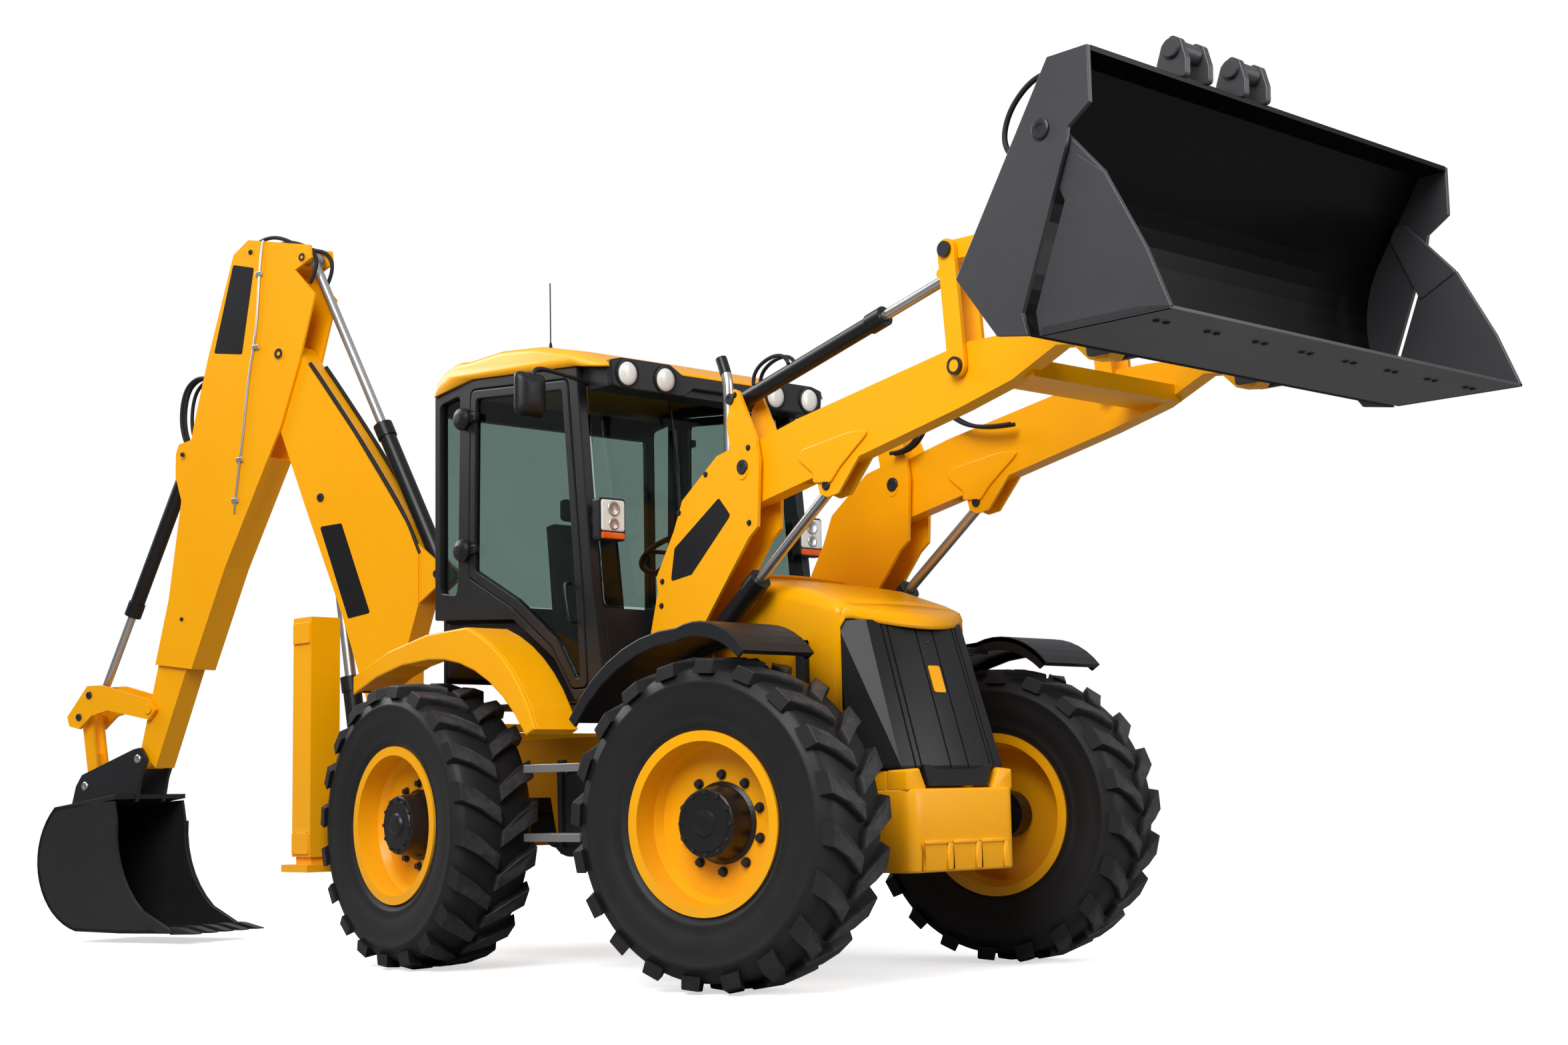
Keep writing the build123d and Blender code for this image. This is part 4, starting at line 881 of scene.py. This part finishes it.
pane_forms.append(plate([oblong(-676, 1742, 676, 2835, 30)], on_windscreen, -0.006, 0.0, 0.001))
pane_forms.append(plate([oblong(-676, 1856, 676, 2836, 30)], from_front, -0.275, -0.269, 0.001))
for side in (-1, 1):
    pane_forms.append(plate([rounded([(-238, 1896), (-238, 2900), (-52, 2926), (-72, 1957), (-88, 1876)], 28)],
        from_side, side * 0.705, side * 0.711, 0.001))
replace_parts(built("cab_panes", pane_forms, glass), "cab_glass")
pipe("wiper_arm", [on_windscreen(-180, 2845, 0.02), on_windscreen(-190, 2790, 0.04),
    on_windscreen(-175, 2600, 0.035), on_windscreen(-150, 2440, 0.022)], 0.006, black_plastic, "chassis", 3)
form = plate([[(-168, 2150), (-152, 2150), (-142, 2660), (-158, 2660)]], on_windscreen, 0.003, 0.020, 0.002)
built("wiper_blade", form, black_plastic)

# ---------------------------------------------------------------- doors
# Each door is a black tube frame with rounded corners round one tinted pane, on two hinges with
# round covers behind, with a handle on its front edge.
door_outline = [(46, 2934), (862, 2868), (972, 1790), (1004, 1351), (884, 1351), (729, 1560), (403, 1781), (26, 1964)]
door_pane = [(92, 2884), (817, 2824), (919, 1790), (948, 1398), (909, 1398), (764, 1597), (435, 1820), (76, 1994)]
for side, hand in side_faces:
    frame_form = plate([rounded(door_outline, 42), rounded(door_pane, 24)], from_side, side * 0.700, side * 0.737,
        0.006)
    covers = []
    for z in (2102, 2790):
        cover = bmesh.new()
        lathe(cover, [(0, -0.006), (0.058, -0.006), (0.060, 0.012), (0.050, 0.030), (0.024, 0.040), (0, 0.041)],
            at(-6, side * 748, z), (0, side, 0), 28)
        covers.append(cover)
        covers.append(plate([rounded([(0, z - 26), (110, z - 20), (110, z + 20), (0, z + 26)], 12)], from_side,
            side * 0.730, side * 0.752, 0.003))
    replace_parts(built("door_frame_" + hand, [frame_form] + covers, black_plastic, "door_" + hand), "door_" + hand)
    pane = plate([rounded([(x - 6 * (x < 500) + 6 * (x > 500), z + 5 * (z > 2000) - 5 * (z <= 2000))
        for x, z in door_pane], 24)], from_side, side * 0.715, side * 0.721, 0.001)
    built("door_pane_" + hand, pane, glass, "door_" + hand)
    pipe("door_handle_" + hand, [at(882, side * 737, 1860), at(882, side * 770, 1862), at(886, side * 780, 1840),
        at(918, side * 780, 1690), at(922, side * 770, 1668), at(922, side * 737, 1670)], 0.010, black_paint,
        "door_" + hand)

# ---------------------------------------------------------------- seat, console and wheel
# The driver's seat has woven dark fabric over foam, on a suspension box; the console and the
# steering wheel are moulded black plastic.
dress(black_plastic, "console")
fabric = painted("seat_fabric", (0.035, 0.036, 0.040), (0.018, 0.018, 0.021), (0.03, 0.03, 0.03), 0.85, specular=0.2,
    scale=600.0, waviness=0.6)
fabric_tree = fabric.node_tree
fabric_shader = fabric_tree.nodes["Principled BSDF"]
fabric_place = add_node(fabric_tree, "ShaderNodeTexCoord")
fabric_weave = add_node(fabric_tree, "ShaderNodeTexWave",
    {"Scale": 140.0, "Distortion": 1.0, "Vector": fabric_place.outputs["Object"]})
fabric_bump = add_node(fabric_tree, "ShaderNodeBump",
    {"Strength": 0.4, "Distance": 0.001, "Height": fabric_weave.outputs["Fac"]})
fabric_tree.links.new(fabric_bump.outputs[0], fabric_shader.inputs["Normal"])
seat_cap = 0.010            # how far the foam may swell out of its cut shape
foam_grain, foam_steps = 0.006, 20


def cushion(name, outline, half, swell):
    """A stuffed pad cut to an outline seen from the side, swollen by its foam."""
    form = plate([rounded(outline, 26)], from_side, -half, half, 0.024)
    bmesh.ops.recalc_face_normals(form, faces=form.faces)
    mesh = bpy.data.meshes.new(name)
    form.to_mesh(mesh)
    form.free()
    holder = stand(name + "_cut", mesh)
    remesh = holder.modifiers.new("remesh", "REMESH")
    remesh.mode = "VOXEL"
    remesh.voxel_size = foam_grain
    cut = settled(holder)
    holder = stand(name + "_foam", cut)
    start = [corner.co.copy() for corner in cut.vertices]
    cloth = holder.modifiers.new("cloth", "CLOTH")
    cloth.settings.use_pressure = True
    cloth.settings.uniform_pressure_force = swell
    cloth.settings.effector_weights.gravity = 0
    cloth.point_cache.frame_start, cloth.point_cache.frame_end = 1, foam_steps
    for step in range(1, foam_steps + 1):
        bpy.context.scene.frame_set(step)
    blown = settled(holder)
    for corner, before in zip(blown.vertices, start):
        move = corner.co - before
        corner.co = before + move * min(1.0, seat_cap / max(move.length, 1e-9))
    cut = blown
    bpy.context.scene.frame_set(1)
    pad = new_piece(name, cut, fabric)
    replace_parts(pad, "seat")
    return pad


cushion("seat_squab", [(70, 1492), (530, 1492), (548, 1560), (520, 1612), (70, 1600)], 0.238, 4)
cushion("seat_back", [(48, 1612), (155, 1612), (142, 1760), (78, 2250), (52, 2284), (-24, 2278)], 0.224, 4)
cushion("head_restraint", [(-22, 2300), (38, 2300), (30, 2420), (-26, 2420)], 0.120, 3)
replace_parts(built("seat_box", [plate([rounded([(170, 1322), (430, 1322), (470, 1488), (130, 1488)], 14)], from_side,
    -0.150, 0.150, 0.006), plate([oblong(-20, 1500, 44, 1700, 10)], from_side, -0.060, 0.060, 0.004)],
    black_plastic), "seat")

# ---------------------------------------------------------------- fenders
# The front fenders are moulded black shells with a rolled outer lip, on steel brackets; the rear
# fenders are rounded yellow shells that run down beside the cab's doors.
front_shell = arcs(((1409, 1176), (1700, 1425), (2160, 1540)), ((2160, 1540), (2440, 1532), (2602, 1418)),
    ((2580, 1404), (2430, 1507), (2160, 1514)), ((2160, 1514), (1718, 1402), (1428, 1160)))
front_lip = arcs(((1409, 1176), (1700, 1425), (2160, 1540)), ((2160, 1540), (2440, 1532), (2602, 1418)),
    ((2556, 1390), (2420, 1470), (2160, 1480)), ((2160, 1480), (1740, 1372), (1452, 1142)))
forms = []
for side in (-1, 1):
    for outline, inner_face, outer_face, edge in ((front_shell, 760, 1150, 0.004), (front_lip, 1146, 1165, 0.006),
            (front_lip, 760, 772, 0.003)):
        forms.append(plate([outline], from_side, side * inner_face / 1000, side * outer_face / 1000, edge))
    for x_range, y_range, z_low, z_high in (((2140, 2200), (412, 800), 1.480, 1.510),
            ((2140, 2200), (412, 436), 1.010, 1.510), ((2140, 2200), (372, 436), 0.985, 1.015)):
        y_low, y_high = sorted((side * y_range[0], side * y_range[1]))
        forms.append(plate([oblong(x_range[0], y_low, x_range[1], y_high)], from_top, z_low, z_high, 0.003))
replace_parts(built("front_fender_shells", forms, black_plastic), "front_fenders")
rear_shell = arcs(((-640, 1480), (-150, 1628), (380, 1670)), ((380, 1670), (735, 1457), (945, 1150)),
    ((892, 1128), (560, 1440), (60, 1556)), ((60, 1556), (-220, 1534), (-640, 1400)))
rear_band = arcs(((-640, 1480), (-150, 1628), (380, 1670)), ((380, 1670), (735, 1457), (945, 1150)),
    ((870, 1122), (540, 1410), (60, 1526)), ((60, 1526), (-220, 1506), (-640, 1384)))
forms = []
for side in (-1, 1):
    for outline, inner_face, outer_face, edge in ((rear_shell, 744, 994, 0.010), (rear_band, 986, 1008, 0.009)):
        forms.append(plate([outline], from_side, side * inner_face / 1000, side * outer_face / 1000, edge))
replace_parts(built("rear_fender_shells", forms, yellow_paint), "rear_fenders")

# ---------------------------------------------------------------- tanks and steps
# Rotomoulded black tanks hang from the frame between the wheels, with two bright punched steel
# treads a side on a bent black frame.
forms, grips = [], []
for side in (-1, 1):
    forms.append(plate([oblong(882, 562, 1398, 958, 46)], from_side, side * 0.362, side * 0.796, 0.024))
    for x in (1010, 1140, 1270):
        forms.append(plate([oblong(x - 14, 610, x + 14, 910, 10)], from_side, side * 0.790, side * 0.799, 0.003))
    forms.append(plate([rounded([(866, 626), (880, 560), (1262, 560), (1280, 626), (1290, 960), (1272, 1008),
        (1246, 1008), (1262, 950), (1246, 590), (896, 590), (890, 626), (894, 950), (910, 1008), (862, 1008),
        (856, 950)], 8)], from_side, side * 0.786, side * 0.812, 0.003))
    for z in (644, 966):
        for x in (872, 1268):
            y_low, y_high = sorted((side * 800, side * 1000))
            forms.append(plate([oblong(x - 10, y_low, x + 10, y_high)], from_top, (z - 16) / 1000, (z + 10) / 1000,
                0.003))
        slots = [oblong(x - 14, side * 905 - 74, x + 14, side * 905 + 74, 12) for x in range(912, 1260, 52)]
        y_low, y_high = sorted((side * 806, side * 1006))
        grips.append(plate([oblong(858, y_low, 1286, y_high, 14)] + slots, from_top, (z + 8) / 1000, (z + 18) / 1000,
            0.0015))
        grips.append(plate([oblong(858, z - 20, 1286, z + 18, 6)], from_side, side * 0.998, side * 1.009, 0.002))
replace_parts(built("tanks_and_step_frames", forms, black_plastic), "steps_tanks")
built("step_treads", grips, bright_steel)

# ---------------------------------------------------------------- rear frame and stabilisers
# The side-shift frame is welded plate with a square sleeve each side; a box-section leg slides
# down each sleeve onto a flat foot. Wear pads are bolted to the sleeves.
dress(yellow_paint, "rear_frame", "stabiliser_leg_right", "stabiliser_leg_left", "carriage", "kingpost")
fasteners("sleeve_bolts", [(at(x, side * 1150, z), (0, side, 0)) for side in (-1, 1) for x in (-970, -850)
    for z in (600, 660, 1690, 1750)], 0.009, 0.008, 0.013, dark_steel)
forms = []
for side in (-1, 1):
    for z in (560, 1666):
        forms.append(plate([oblong(-990, z, -830, z + 110, 8)], from_side, side * 1.1502, side * 1.160, 0.002))
built("sleeve_pads", forms, yellow_paint)
lamp_forms, case_forms = [], []
for side in (-1, 1):
    y = side * 865
    case_forms.append(plate([oblong(y - 90, 1396, y + 90, 1476, 14)], from_front, -0.656, -0.630, 0.004))
    lamp_forms.append(plate([oblong(y - 80, 1406, y + 80, 1466, 10)], from_front, -0.666, -0.652, 0.004))
built("tail_lamp_cases", case_forms, black_plastic)
built("tail_lamp_lenses", lamp_forms, red_lens)
plate_form = plate([oblong(-260, 1530, 260, 1640, 8)], from_front, -0.292, -0.284, 0.001)
built("blank_number_plate", plate_form, lamp_lens)

# ---------------------------------------------------------------- backhoe
# Boom, dipper and sliding extension are folded and welded box sections in yellow; pins are dark
# hardened steel, ram barrels black and ram rods hard chrome. Hoses run clipped to the boom.
dress(yellow_paint, "boom", "dipper", "dipper_extension", "bellcrank", "hoe_link")
dress(black_paint, "boom_barrel", "dipper_barrel", "hoe_ram_barrel")
dress(bright_steel, "boom_rod", "dipper_rod", "hoe_ram_rod")
slew_x, slewed = -1360, math.radians(18)
hoe_across = Vector((-math.sin(slewed), math.cos(slewed), 0))


def from_hoe(u, v, w):
    """Outlines in the backhoe's plane: u out from its slew axis and v up in mm, w across in metres."""
    return at(slew_x - u * math.cos(slewed), -u * math.sin(slewed), v) + w * hoe_across


def pin_ends(name, places, material, body, place, half):
    """Round pin heads with a keeper bolt, on both faces of a plate; places are (u, v, radius) in mm."""
    form = bmesh.new()
    for u, v, radius in places:
        for turn in (-1, 1):
            middle = place(u, v, turn * half)
            outward = place(u, v, turn * (half + 1)) - middle
            size = radius / 1000
            lathe(form, [(0, -0.004), (size, -0.004), (size, 0.006), (size - 0.004, 0.010), (size * 0.45, 0.010),
                (size * 0.36, 0.006), (0, 0.006)], middle, outward, 28)
    return built(name, form, material, body)


pin_ends("boom_pins", [(*point, radius) for point, radius in (((250, 900), 40), ((802, 2647), 26),
    ((-70, 2130), 24))], dark_steel, "boom", from_hoe, 0.083)
pin_ends("dipper_pins", [(1120, 3560, 34), (940, 4140, 27), (1357, 4229, 16), (1889, 1973, 13), (1903, 3007, 15)],
    dark_steel, "dipper", from_hoe, 0.105)
pin_ends("crank_pins", [(2659, 1531, 24), (2745, 1395, 24), (2146, 1422, 24)], dark_steel, "bellcrank", from_hoe,
    0.116)
for name, body, half, outline in (("boom_label_place", "boom", 0.083,
        [(806, 2470), (640, 2480), (420, 1930), (585, 1905)]), ("dipper_label_place", "dipper", 0.105,
        [(1500, 4168), (1330, 4126), (1420, 3590), (1650, 3622)])):
    forms = []
    for turn in (-1, 1):
        forms.append(plate([rounded(outline, 14)], from_hoe, turn * (half + 0.0002), turn * (half + 0.0014), 0.0004))
    built(name, forms, black_paint, body)
# steel oil pipe along the dipper's near face, with its clips
pipe("dipper_oil_pipe", [from_hoe(u, v, w) for u, v, w in ((1250, 4290, -0.109), (1279, 4200, -0.112),
    (1283, 3733, -0.112), (1356, 3495, -0.112), (1400, 3050, -0.112), (1425, 2914, -0.112), (1459, 2650, -0.112),
    (1466, 2600, -0.106))], 0.008, bright_steel, "dipper")
forms = []
for u, v in ((1281, 4080), (1300, 3620), (1420, 2930), (1455, 2680)):
    forms.append(plate([oblong(u - 26, v - 14, u + 26, v + 14, 6)], from_hoe, -0.122, -0.1055, 0.003))
built("dipper_pipe_clips", forms, bright_steel, "dipper")
# rubber hoses beside the rams: over the dipper's head, behind it to its extension, and up the boom
hose_rubber = painted("hose_rubber", (0.014, 0.014, 0.015), (0.008, 0.008, 0.009), (0.05, 0.045, 0.04), 0.55,
    specular=0.3, scale=300.0, waviness=0.3)
for index, w in enumerate((-0.072, 0.072)):
    pipe(f"dipper_head_hose_{index}", [from_hoe(u, v, w) for u, v in ((1330, 4290), (1240, 4322), (1110, 4290),
        (1010, 4225), (925, 4215), (850, 4150), (852, 4060), (905, 3980))], 0.012, hose_rubber, "dipper")
    pipe(f"boom_back_hose_{index}", [from_hoe(u, v, w) for u, v in ((60, 2260), (150, 2462), (300, 2680),
        (500, 2965), (700, 3225), (850, 3420), (900, 3480))], 0.012, hose_rubber, "boom")
for index, w in enumerate((-0.062, -0.030, 0.030)):
    pipe(f"dipper_back_hose_{index}", [from_hoe(u, v, w) for u, v in ((1720, 3470), (1790, 3500), (1880, 3480),
        (1945, 3400), (1966, 3240), (1935, 3110), (1880, 3020), (1835, 3010))], 0.012, hose_rubber, "dipper")

# ---------------------------------------------------------------- backhoe bucket
# The digging bucket is rolled plate with thick side cutters, five teeth and a quick hitch above
# it, all sprayed black; the hitch's two pins are bright steel.
bucket_paint = painted("bucket_paint", (0.016, 0.016, 0.018), (0.010, 0.010, 0.012), (0.05, 0.046, 0.04), 0.36,
    specular=0.45, scale=40.0, waviness=0.15)
bucket_shell = arcs(((2748, 830), (2862, 345), (2550, 68)), (2170, 60), (1700, 64), (1700, 84), (2170, 82),
    ((2545, 90), (2838, 352), (2726, 815)))
bucket_cheek = arcs(((2748, 830), (2862, 345), (2550, 68)), (2170, 60), (1720, 68),
    ((1990, 200), (2150, 400), (2215, 730)), (2240, 860))
forms = [plate([bucket_shell], from_hoe, -0.300, 0.300, 0.002)]
for turn in (-1, 1):
    forms.append(plate([bucket_cheek], from_hoe, turn * 0.282, turn * 0.300, 0.003))
    forms.append(plate([arcs((1720, 70), ((1984, 200), (2144, 400), (2209, 730)), (2262, 730),
        ((2205, 380), (2050, 180), (1860, 70)))], from_hoe, turn * 0.300, turn * 0.312, 0.002))
    forms.append(plate([rounded([(2150, 1120), (2200, 1190), (2260, 1180), (2700, 1030), (2750, 960), (2790, 820),
        (2740, 780), (2230, 850), (2200, 1000)], 26)], from_hoe, turn * 0.100, turn * 0.128, 0.004))
for low, high in ((-0.300, -0.064), (0.064, 0.300)):
    forms.append(plate([[(2748, 830), (2230, 900), (2230, 872), (2740, 800)]], from_hoe, low, high, 0.002))
forms.append(plate([[(2580, 853), (2230, 900), (2230, 872), (2576, 825)]], from_hoe, -0.066, 0.066, 0.002))
for index in range(-2, 3):
    middle = index * 0.135
    forms.append(plate([rounded([(1760, 58), (1760, 104), (1700, 100), (1560, 69), (1560, 62)], 3)], from_hoe,
        middle - 0.032, middle + 0.032, 0.004))
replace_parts(built("digging_bucket", forms, bucket_paint, "hoe_bucket"), "hoe_bucket")
pin_ends("hitch_pins", [(2218, 1118, 27), (2667, 958, 27)], bright_steel, "hoe_bucket", from_hoe, 0.128)

# ---------------------------------------------------------------- loader arms and linkage
# Two box-section lift arms joined by a cross member, with levers and links that hold the bucket
# level; sprayed yellow, with dark pins, black ram barrels and chrome rods.
dress(yellow_paint, "loader_arms", "tip_levers", "tip_links")
dress(black_paint, "lift_barrels", "tip_barrels")
dress(bright_steel, "lift_rods", "tip_rods")
dress(dark_steel, "lever_pins", "link_pins", "bucket_pins")
arm_plane, arm_half = 0.493, 0.045
forms = []
emboss = [(2385, 2190), (2395, 2230), (2290, 2310), (2330, 2352), (2620, 2392), (2760, 2386), (2640, 2300),
    (2560, 2240), (2500, 2180)]
for side in (-1, 1):
    for face in (-1, 1):
        forms.append(plate([rounded(emboss, 24)], from_side, side * arm_plane + face * arm_half, side * arm_plane +
            face * (arm_half + 0.009), 0.006))
built("arm_stiffeners", forms, yellow_paint, "loader_arms")
for side, hand in side_faces:
    def from_arm(u, v, w, side=side):
        """Outlines in one arm's plane, w across from its middle."""
        return from_side(u, v, w + side * arm_plane)
    pin_ends("arm_pins_" + hand, [(2468, 2175, 24), (1955, 2290, 32)], dark_steel, "loader_arms", from_arm, arm_half)
    pin_ends("bucket_pin_ends_" + hand, [(4045, 2560, 26), (4003, 3065, 24)], dark_steel, "loader_bucket", from_arm,
        0.090)
    for index, offset in enumerate((-0.022, 0.022)):
        pipe(f"tip_ram_hose_{hand}_{index}", [from_arm(1880 + 0.968 * run - 0.252 * rise, 2640 + 0.252 * run +
            0.968 * rise, offset) for run, rise in ((110, 32), (116, 70), (160, 104), (240, 112), (310, 100),
            (350, 66), (354, 32))], 0.009, hose_rubber, "tip_barrels")
for index, across in enumerate((-0.40, -0.37)):
    pipe(f"arm_hose_{index}", [from_side(u, v, -across) for u, v in ((1990, 2460), (2090, 2455), (2190, 2520),
        (2215, 2610), (2330, 2640), (2420, 2560), (2560, 2500), (2760, 2500))], 0.010, hose_rubber, "loader_arms")
# dark panels on the tower plates where a label would stand, left plain
forms = []
for side in (-1, 1):
    forms.append(plate([rounded([(1440, 1830), (1470, 1985), (1790, 2190), (1870, 2100), (1590, 1850)], 16)],
        from_side, side * 0.5732, side * 0.5744, 0.0004))
built("tower_label_places", forms, black_paint)

# ---------------------------------------------------------------- loader bucket and clam jaw
# The back half is rolled plate between end plates; the jaw, hinged on pins through them, has the
# floor, the side shields and a bolted cutting edge. Two lugs on the top edge take fork tines.
back_curve = arcs((4400, 3470), (4560, 3470), (4560, 3450), (4432, 3446), ((4196, 3078), (4135, 2785), (4262, 2478)),
    ((4235, 2457), (4107, 2780), (4168, 3092)))
end_outline = rounded([(4371, 3470), (4560, 3470), (4560, 3256), (4457, 3188), (4443, 3120), (4215, 2545),
    (4241, 2457), (4090, 2480), (3895, 2731)], 6)
# painted shade: the rolled back is the same black paint, coloured near-black with little specular to stand for the
# deep shadow inside the bucket
painted_shade_black = painted("painted_shade_black", (0.003, 0.003, 0.004), (0.002, 0.002, 0.002), (0.03, 0.028, 0.025), 0.30,
    specular=0.12, scale=30.0, waviness=0.1)
rolled = plate([back_curve], from_side, -1.2122, 1.2122, 0.001)
built("bucket_rolled_back", rolled, painted_shade_black, "loader_bucket")
# painted sheen: the end plates, lugs, eyes and jaw are black paint too, coloured a lighter grey to stand for the soft
# highlight on them
sheen_grey = painted("bucket_end_sheen_grey", (0.055, 0.055, 0.060), (0.040, 0.040, 0.044), (0.08, 0.075, 0.07), 0.36,
    specular=0.4, scale=40.0, waviness=0.12)
forms = []
for side in (-1, 1):
    forms.append(plate([end_outline], from_side, side * 1.212, side * 1.232, 0.003))
    for face in (-1, 1):
        forms.append(plate([rounded([(3985, 2500), (3975, 2600), (3950, 3060), (4000, 3130), (4060, 3130),
            (4170, 3065), (4118, 2800), (4166, 2570), (4190, 2500)], 16)], from_side, side * arm_plane +
            face * 0.066, side * arm_plane + face * 0.090, 0.004))
for middle in (-585, -207):
    for across in (-72, 72):
        y = (middle + across) / 1000
        forms.append(plate([rounded([(4440, 3468), (4580, 3468), (4582, 3540), (4560, 3618), (4520, 3642),
            (4470, 3612), (4444, 3540)], 22)], from_side, y - 0.015, y + 0.015, 0.004))
    eye = bmesh.new()
    lathe(eye, [(0, -0.105), (0.034, -0.105), (0.038, -0.100), (0.038, 0.100), (0.034, 0.105), (0, 0.105)],
        at(4520, middle, 3588), (0, 1, 0), 28)
    forms.append(eye)
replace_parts(built("bucket_back", forms, sheen_grey, "loader_bucket"), "loader_bucket")
form = bmesh.new()
for side in (-1, 1):
    lathe(form, [(0, 0), (0.040, 0), (0.040, 0.008), (0.034, 0.012), (0.020, 0.012), (0.016, 0.007), (0, 0.007)],
        at(4334, side * 1232, 3208), (0, side, 0), 32)
built("clam_pin_ends", form, dark_steel, "loader_bucket")
jaw_outline = rounded([(4474, 3089), (4596, 2995), (4763, 2692), (4858, 2466), (4858, 2455), (4272, 2455),
    (4258, 2545)], 5)
jaw_hinge = rounded([(4290, 3188), (4320, 3246), (4366, 3246), (4600, 2992), (4420, 2900)], 16)
forms = []
for side in (-1, 1):
    forms.append(plate([jaw_outline], from_side, side * 1.186, side * 1.206, 0.003))
    forms.append(plate([jaw_hinge], from_side, side * 1.178, side * 1.202, 0.004))
forms.append(plate([[(4272, 2455), (4858, 2455), (4858, 2466), (4720, 2485), (4285, 2485)]], from_side, -1.206,
    1.206, 0.001))
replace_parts(built("jaw_shell", forms, sheen_grey, "clam_jaw"), "clam_jaw")
fasteners("cutting_edge_bolts", [(at(x, y + shift, 2455), (0, 0, -1)) for y in range(-1050, 1051, 300)
    for shift in (-28, 28) for x in (4700,)], 0.012, 0.007, 0.017, dark_steel, "clam_jaw")
pipe("bucket_hose", [at(4330, -1150, 3440), at(4264, -1150, 3452), at(4160, -1150, 3400), at(4080, -1150, 3290),
    at(4085, -1150, 3190), at(4170, -1150, 3130)], 0.011, hose_rubber, "loader_bucket")
